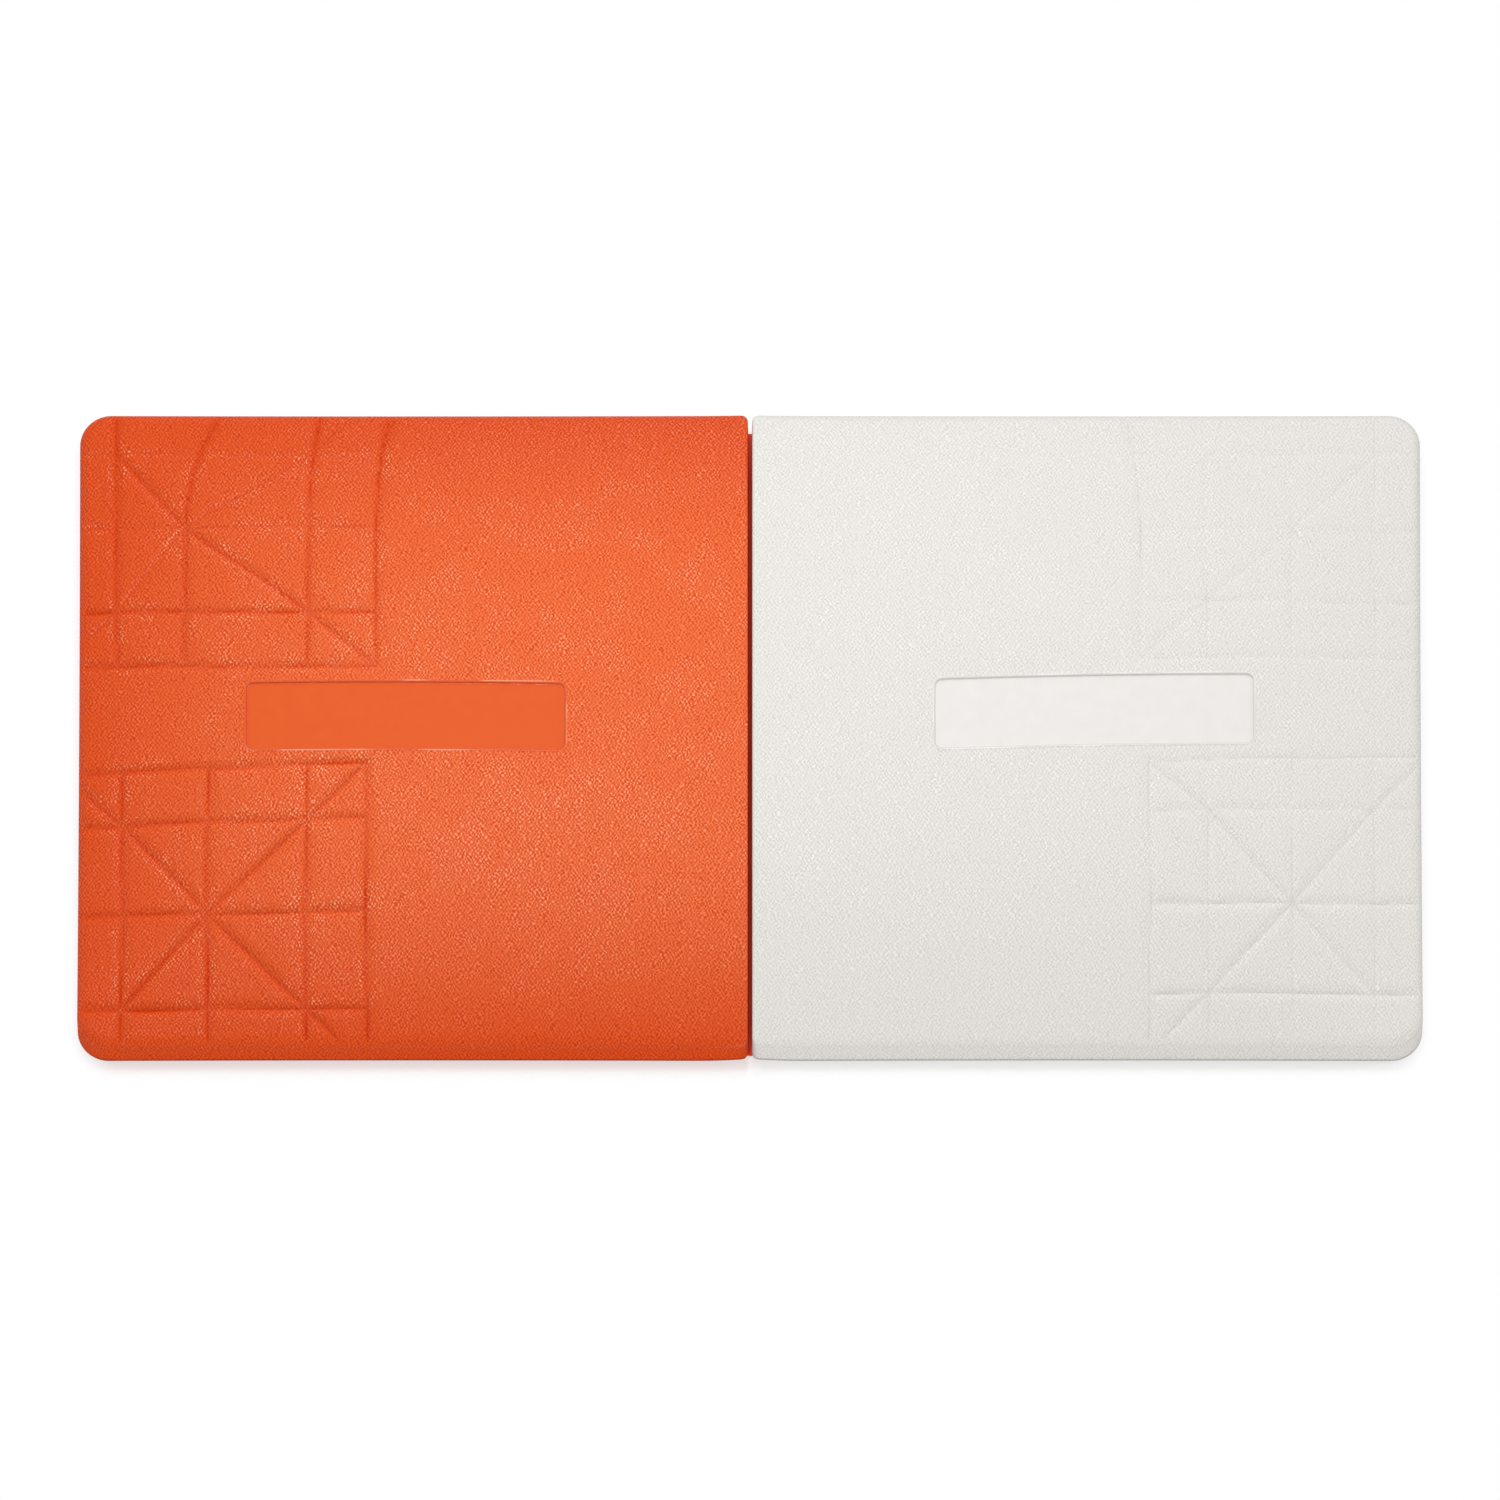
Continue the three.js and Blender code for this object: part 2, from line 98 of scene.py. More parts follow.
# Smooth recessed panel of each cover, which leans a little against the sides
Panel = namedtuple("Panel", "width offset slope")
PANELS = {
    "white": Panel(42 * MM, 3.4 * MM, 0.038),
    "orange": Panel(40.5 * MM, -0.2 * MM, -0.022),
}
PANEL_LENGTH = 182 * MM
PANEL_RADIUS = 4.5 * MM
PANEL_DEPTH = 1.1 * MM
PANEL_WALL = 0.6 * MM
PANEL_FROM_SEAM = 194.5 * MM
BEAD_HEIGHT = 0.35 * MM
BEAD_WIDTH = 1.4 * MM

# How firmly a quilt channel is pressed in
FIRM = 1.0
SOFT = 0.55
FAINT = 0.35

# Quilt channels of each corner, in millimetres: columns from the outer edge and rows from the front or back
# edge, how much the rows spread towards the seam, how far each column leans at that edge, and their presses
Quilt = namedtuple(
    "Quilt",
    "columns rows spread leans column_press row_press cross_press",
    defaults=(0.0, (0,) * 4, (FIRM,) * 4, (FIRM,) * 4, (FIRM,) * 2),
)
QUILTS = {
    ("orange", "back"): Quilt(
        columns=(21.5, 60.5, 131, 169.5),
        rows=(25.5, 71.5, 123.5, 156.5),
        spread=0.04,
        leans=(0, 20, 6, 7),
        row_press=(FAINT, SOFT, FIRM, FIRM),
        cross_press=(FIRM, SOFT),
    ),
    ("orange", "front"): Quilt(
        columns=(25.5, 74, 130, 164.5),
        rows=(21.5, 76.5, 130.5, 163),
    ),
    ("white", "back"): Quilt(
        columns=(26.5, 74.5, 122, 160.5),
        rows=(26, 73.5, 117.5, 151.5),
        spread=0.04,
        leans=(0, 0, 0, 7),
        column_press=(FAINT, FAINT, FAINT, SOFT),
        row_press=(FAINT, FAINT, FAINT, FAINT),
        cross_press=(FAINT, FAINT),
    ),
    ("white", "front"): Quilt(
        columns=(27.5, 74.5, 122, 155.5),
        rows=(30, 83, 139, 169.5),
        spread=-0.06,
        column_press=(FAINT, FAINT, FAINT, SOFT),
        row_press=(SOFT, SOFT, FAINT, FAINT),
        cross_press=(SOFT, SOFT),
    ),
}
SPREAD_FROM = 0.4
COLUMN_STOPS = 9
CREASE_REACH = 1.8 * MM
CREASE_DEPTH = 0.5 * MM
CREASE_CURVE = 1.5
CREASE_LINE = 1.6 * MM
DIP_REACH = 6.5 * MM
DIP_DEPTH = 2.0 * MM
DIP_CURVE = 2.0
RUN_OUT = 5 * MM
LINE_SPLITS = 4
SWAY = 3.2 * MM
SWAY_SCALE = 14.0
PATCH_SCALE = 22.0
PATCH_LEAST = 0.6
PATCH_SPAN = 0.8

# Pitches of the covers' surface points
PLAIN_PITCH = 3 * MM
SEAM_PITCH = 1 * MM
QUILT_PITCH = 1.35 * MM
EDGE_PITCH = 0.3 * MM
EDGE_ZONE = 2.5 * MM
COARSE_PITCH = 16 * MM
QUILT_START = 205 * MM

# Grain of the rubber: staggered pebbles that stray from their rows, with fine specks and broad swells
PEBBLE_PITCH = 2.3 * MM
PEBBLE_ROW = 1.62 * MM
PEBBLE_HEIGHT = 0.13 * MM
PEBBLE_STRAY = 3.6 * MM
STRAY_SCALE = 190.0
SPECK_SCALE = 800.0
SPECK_TONE = 2.4
SPECK_BUMP = 0.4
RIPPLE_BUMP = 0.5
SWELL_SCALE = 110.0
SWELL_EDGES = (0.3, 0.7)
SWELL_LEAST = 0.7
SWELL_SPAN = 0.6
WALL_STRETCH = 0.4

# Painted glints: paler grain tops on the crown and beside the channels, and a paler rim round the panel,
# painted highlights in place of lamp glints
GLINT_PATCH_SCALE = 30.0
GLINT_PATCH_EDGES = (0.4, 0.62)
GLINT_TOPS = (0.4, 1.2)
CROWN_GLINT = 0.45
SHOULDER_GLINT = 0.5
SHOULDER_START = 1.5 * MM
SHOULDER_END = 7 * MM
RIM_GLINT = 0.7
RIM_WIDTH = 0.6 * MM

# Shares of the darkest tint: painted shade at the panel's foot and along a channel's crease, and random tone
# in the panel's mottle
FOOT_SHADE = 0.6
LINE_SHADE = 0.35
MOTTLE_DARK = 0.15

# Gloss of the grained rubber: dull walls, a smoother top and a coat on the panel's rim
WALL_ROUGHNESS = 0.9
TOP_SMOOTH = 0.35
PEBBLE_SMOOTH = 0.3
SMOOTH_TOPS = (-0.2, 0.7)
GRAIN_SPECULAR = 0.22
RIM_COAT = 0.6
COAT_ROUGHNESS = 0.2

# Plain rubber, zinc and foam
TOOTH_SCALE = 900.0
TOOTH_STRENGTH = 0.5
TOOTH_BUMP = 0.2 * MM
BLOTCH_SCALE = 40.0
BLOTCH_EDGES = (0.35, 0.7)
BLOTCH_GLOSS = 0.2
PLAIN_SPECULAR = 0.3
SPANGLE_SCALE = 120.0
SPANGLE_GLOSS = 0.16
ZINC_ROUGHNESS = 0.28
CELL_SCALE = 700.0
CELL_EDGES = (0.1, 0.7)
CELL_STRENGTH = 0.7
CELL_BUMP = 0.6 * MM
FOAM_ROUGHNESS = 0.9

# Pads, plates, screws and strap
POCKET_SIZE = 26 * MM
POCKET_RIB = 9 * MM
POCKET_DEPTH = 3 * MM
POCKET_DRAFT = 1 * MM
PAD_CORNER = 1 * MM
PAD_EDGE = 0.5 * MM
PLATE_CORNER = 8 * MM
PLATE_EDGE = 0.4 * MM
BOLT_RADIUS = 4.2 * MM
BOLT_PITCH = 44 * MM
HEAD_RADIUS = (SCREW_HIGH.x - SCREW_LOW.x) / 2
HEAD_HEIGHT = 1.8 * MM
SHANK_RADIUS = 2 * MM
SHANK_START = 1 * MM
SHANK_TAPER = 0.98
SCREW_POINT = 2 * MM
POINT_TAPER = 0.97
POINT_TIP = 0.2 * MM
POINT_LAP = 0.1 * MM
SCREW_SIDES = 20
RECESS_LENGTH = 4.6 * MM
RECESS_WIDTH = 1.1 * MM
RECESS_DEPTH = 1.2 * MM
STRAP_PITCH = 9 * MM
TONGUE_SHORT = 3 * MM
TONGUE_GAP = 0.1 * MM
BEND_PITCH = 0.25 * MM
OVERCUT = 2 * MM

# Finishing of edges
BEVEL_STEPS = 2
BEVEL_ANGLE = math.radians(40)
SHARP_ANGLE = math.radians(35)
ROUNDING = 1e-6
NEAR = 0.001

# Camera: a long lens far away, over the front edge
FRAME_WIDTH = 855.2 * MM
CAMERA_DISTANCE = 25.0
CAMERA_TILT = math.radians(71)
CAMERA_AIM = Vector((0, -3 * MM, 0))
CLIP_START = 0.1
SENSOR = 36.0

# Floor sheet round the base
FLOOR_MARGIN = 24 * MM
FLOOR_TUCK = 8 * MM
FLOOR_DROP = 0.2 * MM
FLOOR_BOUNCE = 0.65
FLOOR_SHADE = 0.52
FLOOR_GLOW = 0.52
SHADOW_REACH = 14 * MM
SHADOW_SIDE = 8 * MM
FLOOR_FADE = (0.75, 0.9)

# Light: each lamp's place and aim in metres, its width and height, its power in watts, and if gloss shows it
WHITE = (1, 1, 1, 1)
WORLD_LEVEL = 0.55
Lamp = namedtuple("Lamp", "place aim size power mirrored")
LAMPS = {
    "overhead_lamp": Lamp((-0.15, 0.1, 1.3), (-0.15, 0.1, 0), (0.16, 0.16), 3.0, True),
    "key_lamp": Lamp((0.0, 0.45, 1.9), (0, 0, 0), (0.1, 0.6), 8.0, False),
    "back_lamp": Lamp((0.0, 1.5, 0.95), (0, 0, 0), (0.3, 0.4), 3.5, True),
    "left_lamp": Lamp((-1.5, 0.0, 0.5), (-0.2, 0, 0), (0.2, 0.3), 1.5, True),
    "right_lamp": Lamp((1.5, 0.0, 0.5), (0.2, 0, 0), (0.2, 0.3), 2.5, True),
    "front_lamp": Lamp((0.0, -1.5, -0.2), (0, -0.19, 0.015), (1.8, 0.12), 7.5, False),
}


# Nodes: a socket that takes part in expressions, and a tree that takes nodes by type, settings and sockets
class Value:
    def __init__(self, graph, socket):
        self.graph = graph
        self.socket = socket

    def __add__(self, other):
        return self.graph.math("ADD", self, other)

    def __radd__(self, other):
        return self.graph.math("ADD", other, self)

    def __sub__(self, other):
        return self.graph.math("SUBTRACT", self, other)

    def __rsub__(self, other):
        return self.graph.math("SUBTRACT", other, self)

    def __mul__(self, other):
        return self.graph.math("MULTIPLY", self, other)

    def __rmul__(self, other):
        return self.graph.math("MULTIPLY", other, self)

    def __truediv__(self, other):
        return self.graph.math("DIVIDE", self, other)

    def __pow__(self, other):
        return self.graph.math("POWER", self, other)

    def __abs__(self):
        return self.graph.math("ABSOLUTE", self)


class Graph:
    def __init__(self, tree):
        self.tree = tree

    def node(self, kind, settings=None, sockets=None, out=0):
        made = self.tree.nodes.new(kind)
        for name, setting in (settings or {}).items():
            setattr(made, name, setting)
        self.fill(made, sockets or {})
        return Value(self, made.outputs[out]) if made.outputs else None

    def fill(self, made, sockets):
        """Sets or links a node's sockets. A list goes into a socket that takes several links."""
        for key, values in sockets.items():
            for value in values if isinstance(values, list) else [values]:
                if isinstance(value, Value):
                    self.tree.links.new(value.socket, made.inputs[key])
                else:
                    made.inputs[key].default_value = value

    def outputs(self, kind, *names):
        made = self.tree.nodes.new(kind)
        return [Value(self, made.outputs[name]) for name in names]

    def math(self, operation, *values):
        return self.node("ShaderNodeMath", {"operation": operation}, dict(enumerate(values)))

    def least(self, a, b):
        return self.math("MINIMUM", a, b)

    def most(self, a, b):
        return self.math("MAXIMUM", a, b)

    def ease(self, value, low, high):
        """0 below low and 1 above high, with a soft step between."""
        settings = {"interpolation_type": "SMOOTHSTEP"}
        sockets = {"Value": value, "From Min": low, "From Max": high}
        return self.node("ShaderNodeMapRange", settings, sockets)

    def vector(self, operation, *values):
        return self.node("ShaderNodeVectorMath", {"operation": operation}, dict(enumerate(values)))

    def scaled(self, vector, factor):
        return self.node("ShaderNodeVectorMath", {"operation": "SCALE"}, {0: vector, "Scale": factor})

    def axes(self, vector):
        split = self.node("ShaderNodeSeparateXYZ", None, {0: vector}).socket.node
        return [Value(self, output) for output in split.outputs]

    def joined(self, x, y, z):
        return self.node("ShaderNodeCombineXYZ", None, {0: x, 1: y, 2: z})

    def noise(self, place, scale, detail=2.0, dimensions="3D", out=0):
        settings = {"noise_dimensions": dimensions}
        sockets = {"Vector": place, "Scale": scale, "Detail": detail}
        return self.node("ShaderNodeTexNoise", settings, sockets, out)

    def object_place(self):
        return self.node("ShaderNodeTexCoord", None, None, "Object")

    def wander(self, place, scale, detail):
        """A way to stray at a place in plan, up to a half each way."""
        noise = self.noise(place, scale, detail, "2D", "Color")
        return self.vector("SUBTRACT", noise, (0.5, 0.5, 0.5))

    def blended(self, factor, first, second):
        return self.node("ShaderNodeMix", {"data_type": "RGBA"}, {0: factor, 6: first, 7: second}, 2)

    def mixed(self, factor, first, second):
        return self.node("ShaderNodeMixShader", None, {0: factor, 1: first, 2: second})

    def rounded_box(self, x, y, half_x, half_y, radius):
        """Distance to the outline of a rectangle with round corners, negative inside."""
        over_x = abs(x) - half_x + radius
        over_y = abs(y) - half_y + radius
        outside_x = self.most(over_x, 0.0)
        outside_y = self.most(over_y, 0.0)
        outside = self.math("SQRT", outside_x * outside_x + outside_y * outside_y)
        return outside + self.least(self.most(over_x, over_y), 0.0) - radius


class Form(Graph):
    """A Geometry Nodes tree with named sizes, run on a mesh to give a plain mesh."""

    SOCKETS = {"number": "NodeSocketFloat", "object": "NodeSocketObject"}

    def __init__(self, name, sizes):
        super().__init__(bpy.data.node_groups.new(name, "GeometryNodeTree"))
        interface = self.tree.interface
        interface.new_socket("Geometry", in_out="INPUT", socket_type="NodeSocketGeometry")
        interface.new_socket("Geometry", in_out="OUTPUT", socket_type="NodeSocketGeometry")
        self.sizes = sizes
        self.keys = {}
        for size, value in sizes.items():
            kind = "object" if isinstance(value, bpy.types.Object) else "number"
            socket = interface.new_socket(size, in_out="INPUT", socket_type=self.SOCKETS[kind])
            self.keys[size] = socket.identifier
        start = self.tree.nodes.new("NodeGroupInput")
        self.inputs = {socket.name: Value(self, socket) for socket in start.outputs if socket.name}

    def attribute(self, name, kind="FLOAT"):
        return self.node("GeometryNodeInputNamedAttribute", {"data_type": kind}, {"Name": name})

    def store(self, geometry, name, value, kind="FLOAT_VECTOR"):
        settings = {"data_type": kind, "domain": "POINT"}
        sockets = {"Geometry": geometry, "Name": name, "Value": value}
        return self.node("GeometryNodeStoreNamedAttribute", settings, sockets)

    def moved(self, geometry, way, turn=(0, 0, 0)):
        sockets = {"Geometry": geometry, "Translation": way, "Rotation": turn}
        return self.node("GeometryNodeTransform", None, sockets)

    def combined(self, operation, sockets):
        settings = {"operation": operation, "solver": "MANIFOLD"}
        return self.node("GeometryNodeMeshBoolean", settings, sockets)

    def close(self, geometry, material):
        real = self.node("GeometryNodeRealizeInstances", None, {"Geometry": geometry})
        painted = self.node("GeometryNodeSetMaterial", None, {"Geometry": real, "Material": material})
        self.node("NodeGroupOutput", None, {0: painted})

    def run(self, mesh):
        piece = linked(self.tree.name, mesh)
        modifier = piece.modifiers.new("form", "NODES")
        modifier.node_group = self.tree
        for size, value in self.sizes.items():
            modifier[self.keys[size]] = value
        made = plain_mesh(piece)
        bpy.data.objects.remove(piece)
        return made


def plain_mesh(piece):
    """The mesh that a piece has with its modifiers."""
    depsgraph = bpy.context.evaluated_depsgraph_get()
    return bpy.data.meshes.new_from_object(piece.evaluated_get(depsgraph), depsgraph=depsgraph)


def linked(name, data):
    """An object in the scene that holds a mesh, a camera or a lamp."""
    piece = bpy.data.objects.new(name, data)
    bpy.context.scene.collection.objects.link(piece)
    return piece


def cut(mesh, cutters):
    """The closed mesh with closed cutter meshes taken out of it."""
    body = linked("body", mesh)
    tools = [linked("cutter", cutter) for cutter in cutters]
    for tool in tools:
        modifier = body.modifiers.new("cut", "BOOLEAN")
        modifier.operation = "DIFFERENCE"
        modifier.solver = "MANIFOLD"
        modifier.object = tool
    made = plain_mesh(body)
    for piece in [body, *tools]:
        bpy.data.objects.remove(piece)
    return made


def softened(mesh, width):
    """The mesh with its sharp edges rounded."""
    piece = linked("softened", mesh)
    modifier = piece.modifiers.new("round", "BEVEL")
    modifier.width = width
    modifier.segments = BEVEL_STEPS
    modifier.limit_method = "ANGLE"
    modifier.angle_limit = BEVEL_ANGLE
    made = plain_mesh(piece)
    bpy.data.objects.remove(piece)
    return made


def loose_removed(mesh):
    """The mesh without points that no face uses."""
    shape = bmesh.new()
    shape.from_mesh(mesh)
    loose = [point for point in shape.verts if not point.link_faces]
    bmesh.ops.delete(shape, geom=loose, context="VERTS")
    shape.to_mesh(mesh)
    shape.free()
    return mesh


def piece_of(name, mesh, material, nodes, half=None):
    """A finished piece at the origin that stands for its nodes and may ride on a half, in its place."""
    if half is not None:
        mesh.transform(TURNS[half])
    mesh.materials.clear()
    mesh.materials.append(material)
    mesh.shade_smooth()
    mesh.set_sharp_from_angle(angle=SHARP_ANGLE)
    piece = linked(name, mesh)
    if half is not None:
        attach(piece, f"{half}_half")
    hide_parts(*nodes)
    return piece


# Plain solids for cuts and small pieces
def mesh_of(name, points, faces, edges=()):
    mesh = bpy.data.meshes.new(name)
    mesh.from_pydata([tuple(point) for point in points], edges, faces)
    mesh.update()
    return mesh


def prism(name, outline, base, top):
    """An upright solid over an anticlockwise outline in plan."""
    count = len(outline)
    points = [(x, y, base) for x, y in outline] + [(x, y, top) for x, y in outline]
    sides = [(i, (i + 1) % count, count + (i + 1) % count, count + i) for i in range(count)]
    return mesh_of(name, points, [tuple(reversed(range(count))), tuple(range(count, 2 * count)), *sides])


def rounded_outline(low, high, radius, steps=8):
    corners = [(low.x, low.y), (high.x, low.y), (high.x, high.y), (low.x, high.y)]
    inward = [(1, 1), (-1, 1), (-1, -1), (1, -1)]
    outline = []
    for turn, ((x, y), (to_x, to_y)) in enumerate(zip(corners, inward)):
        for step in range(steps + 1):
            angle = math.pi + (turn + step / steps) * math.pi / 2
            around_x = x + radius * (to_x + math.cos(angle))
            around_y = y + radius * (to_y + math.sin(angle))
            outline.append((around_x, around_y))
    return outline


def turned_solid(name, profile, centre, steps=24):
    """A solid turned about an upright axis from (radius, height) points, from the axis to the axis."""
    rings = profile[1:-1]
    points = [(centre.x, centre.y, profile[0][1]), (centre.x, centre.y, profile[-1][1])]
    for radius, height in rings:
        for step in range(steps):
            angle = 2 * math.pi * step / steps
            points.append((centre.x + radius * math.cos(angle), centre.y + radius * math.sin(angle), height))
    faces = []
    last = 2 + (len(rings) - 1) * steps
    for step in range(steps):
        after = (step + 1) % steps
        faces.append((0, 2 + after, 2 + step))
        faces.append((1, last + step, last + after))
        for ring in range(len(rings) - 1):
            base = 2 + ring * steps
            faces.append((base + step, base + after, base + steps + after, base + steps + step))
    return mesh_of(name, points, faces)


# Crowned block: the blank of a cover, its hollow and its foam
def graded(stops):
    """Line places from (place, pitch to the next place) stops."""
    places = []
    for (place, pitch), (after, _) in zip(stops, stops[1:]):
        steps = max(1, math.ceil((after - place) / pitch - ROUNDING))
        places.extend(place + (after - place) * step / steps for step in range(steps))
    return np.array([*places, stops[-1][0]])


def onto_disc(a, b):
    """Moves points of a square onto the quarter disc inside it, ring by ring."""
    reach = np.maximum(a, b)
    share = np.divide(np.minimum(a, b), reach, out=np.zeros_like(reach), where=reach > 0)
    along = reach * np.cos(share * np.pi / 4)
    beside = reach * np.sin(share * np.pi / 4)
    return np.where(a >= b, along, beside), np.where(a >= b, beside, along)


def rounded_plan(inset, columns, rows, rounds):
    """Plan of a block's flat top with its corners drawn onto discs: places, ways out and edge roundings."""
    seam_round, free_round = rounds
    u, v = np.meshgrid(columns, rows, indexing="ij")
    near_seam = np.clip(1 - u / ROUND_CHANGE, 0, 1) ** 2
    edge_round = free_round - (free_round - seam_round) * near_seam
    edge_v = MIDDLE - inset - edge_round
    v = v * edge_v / (MIDDLE - inset - free_round)
    outward = np.zeros((*u.shape, 2))
    outward[:, 0] = (0, -1)
    outward[:, -1] = (0, 1)
    outward[0, 1:-1] = (-1, 0)
    outward[-1, 1:-1] = (1, 0)
    full_radius = {-1: SEAM_CORNER - seam_round, 1: OUTER_CORNER - free_round}
    for toward, edge_u in ((-1, columns[0]), (1, columns[-1])):
        radius = max(full_radius[toward] - inset, LEAST_CORNER)
        centre_u = edge_u - toward * radius
        for side in (-1, 1):
            a = toward * (u - centre_u)
            b = side * v - (edge_v - radius)
            inside = (a > 0) & (b > 0)
            new_a, new_b = onto_disc(np.maximum(a, 0), np.maximum(b, 0))
            length = np.maximum(np.hypot(new_a, new_b), ROUNDING * MM)
            radial = np.stack([toward * new_a / length, side * new_b / length], axis=-1)
            outward = np.where(inside[..., None], radial, outward)
            u = np.where(inside, centre_u + toward * new_a, u)
            v = np.where(inside, side * (edge_v - radius + new_b), v)
    draw_v = SIDE_BOW * 4 * (u / SIDE) * (1 - u / SIDE) + SEAM_DRAW * near_seam
    draw_u = SIDE_BOW * (1 - (v / MIDDLE) ** 2) * np.clip(u / SIDE, 0, 1) ** 4
    return np.stack([u - draw_u, v - draw_v * (v / MIDDLE) ** 3], axis=-1), outward, edge_round


def skirt(rim, away, radius, base, draft):
    """Rings of a block's edge from rim to foot, each with its places, heights and shares of the crown."""
    rings = []
    for step in range(1, ROUND_ROWS + 1):
        angle = step / ROUND_ROWS * math.pi / 2
        drop = radius * (1 - math.cos(angle))
        rings.append((rim + away * radius * math.sin(angle), -drop, np.ones_like(drop)))
    lean = away * draft * np.maximum(-away[:, :1], 0)
    wall = rim + away * radius
    foot = base + FOOT_ROUND
    for step in range(1, WALL_ROWS + 1):
        share = step / WALL_ROWS
        height = foot * share - radius * (1 - share)
        rings.append((wall + lean * share, height, np.full_like(radius, 1 - share)))
    for angle in (math.pi / 4, math.pi / 2):
        tuck = FOOT_ROUND * (1 - math.cos(angle))
        height = np.full_like(radius, foot - FOOT_ROUND * math.sin(angle))
        rings.append((wall + lean - away * tuck, height, np.zeros_like(radius)))
    return rings


def crowned_blank(name, inset, base, lines, rounds, draft=0.0):
    """A closed block in the white half's plan, flat until its crown is added.

    Point attributes say how much of the crown lifts each point, and which way it lies outside the top.
    """
    columns, rows = lines
    top, outward, edge_round = rounded_plan(inset, columns, rows, rounds)
    last_u, last_v = len(columns) - 1, len(rows) - 1
    border = [(i, 0) for i in range(last_u)] + [(last_u, j) for j in range(last_v)]
    border += [(i, last_v) for i in range(last_u, 0, -1)] + [(0, j) for j in range(last_v, 0, -1)]
    i, j = np.array(border).T
    away = outward[i, j]
    rings = skirt(top[i, j], away, edge_round[i, j][:, None], base, draft)

    count = len(border)
    grid = np.arange(len(columns) * len(rows)).reshape(top.shape[:2])
    plan = np.concatenate([top.reshape(-1, 2), *[places for places, _, _ in rings]])
    lift = np.concatenate([np.ones(grid.size), *[shares[:, 0] for _, _, shares in rings]])
    rise = np.concatenate([np.zeros(grid.size), *[heights[:, 0] for _, heights, _ in rings]])
    beyond = np.concatenate([np.zeros((grid.size, 2)), *[away for _ in rings]])

    faces = np.stack([grid[:-1, :-1], grid[1:, :-1], grid[1:, 1:], grid[:-1, 1:]], axis=-1)
    faces = faces.reshape(-1, 4).tolist()
    loops = [grid[i, j], *[grid.size + k * count + np.arange(count) for k in range(len(rings))]]
    for upper, lower in zip(loops, loops[1:]):
        faces += np.stack([upper, lower, np.roll(lower, -1), np.roll(upper, -1)], axis=-1).tolist()
    faces.append(loops[-1][::-1].tolist())
    points = np.column_stack([plan[:, 0] + SEAM, plan[:, 1], rise - inset * lift])
    mesh = mesh_of(name, points, faces)
    mesh.attributes.new("lift", "FLOAT", "POINT").data.foreach_set("value", lift)
    vectors = np.column_stack([beyond, np.zeros(len(beyond))])
    mesh.attributes.new("outward", "FLOAT_VECTOR", "POINT").data.foreach_set("vector", vectors.ravel())
    return mesh


def coarse_lines(inset, rounds):
    seam_round, free_round = rounds
    columns = graded([(inset + seam_round, COARSE_PITCH), (SIDE - inset - free_round, 0)])
    reach = MIDDLE - inset - free_round
    return columns, graded([(-reach, COARSE_PITCH), (reach, 0)])


def cover_lines(panel, rounds):
    """Lines of a cover's top, closer where the quilt lies and closest along the panel's edges."""
    seam_round, free_round = rounds
    panel_start = PANEL_FROM_SEAM - PANEL_LENGTH / 2
    panel_end = PANEL_FROM_SEAM + PANEL_LENGTH / 2
    columns = graded([
        (seam_round + SEAM_DRAFT, SEAM_PITCH),
        (ROUND_CHANGE, PLAIN_PITCH),
        (panel_start - EDGE_ZONE, EDGE_PITCH),
        (panel_start + EDGE_ZONE, PLAIN_PITCH),
        (QUILT_START, QUILT_PITCH),
        (panel_end - EDGE_ZONE, EDGE_PITCH),
        (panel_end + EDGE_ZONE, QUILT_PITCH),
        (SIDE - free_round, 0),
    ])
    lean = abs(panel.slope) * PANEL_LENGTH / 2 + EDGE_ZONE
    near = panel.offset - panel.width / 2
    far = panel.offset + panel.width / 2
    reach = MIDDLE - free_round
    rows = graded([
        (-reach, QUILT_PITCH),
        (near - lean, EDGE_PITCH),
        (near + lean, PLAIN_PITCH),
        (far - lean, EDGE_PITCH),
        (far + lean, QUILT_PITCH),
        (reach, 0),
    ])
    return columns, rows


# The crown, as a height over the white half's plan
def crown_height(form, u, v):
    sizes = form.inputs
    across = 1 - form.least(abs(u / sizes["Side"]), 1.0) ** sizes["Fall across"]
    along = 1 - form.least(abs(v / sizes["Middle"]), 1.0) ** sizes["Fall along"]
    return sizes["Edge height"] + (sizes["Crown height"] - sizes["Edge height"]) * across * along


CROWN_SIZES = {
    "Seam": SEAM,
    "Side": SIDE,
    "Middle": MIDDLE,
    "Edge height": EDGE_HEIGHT,
    "Crown height": CROWN_HEIGHT,
    "Fall across": FALL_ACROSS,
    "Fall along": FALL_ALONG,
}


def crowned(name, blank, material):
    """The blank under its crown, with a plain top."""
    form = Form(name, CROWN_SIZES)
    x, y, z = form.axes(form.node("GeometryNodeInputPosition"))
    height = z + form.attribute("lift") * crown_height(form, x - form.inputs["Seam"], y)
    sockets = {"Geometry": form.inputs["Geometry"], "Position": form.joined(x, y, height)}
    form.close(form.node("GeometryNodeSetPosition", None, sockets), material)
    return form.run(blank)


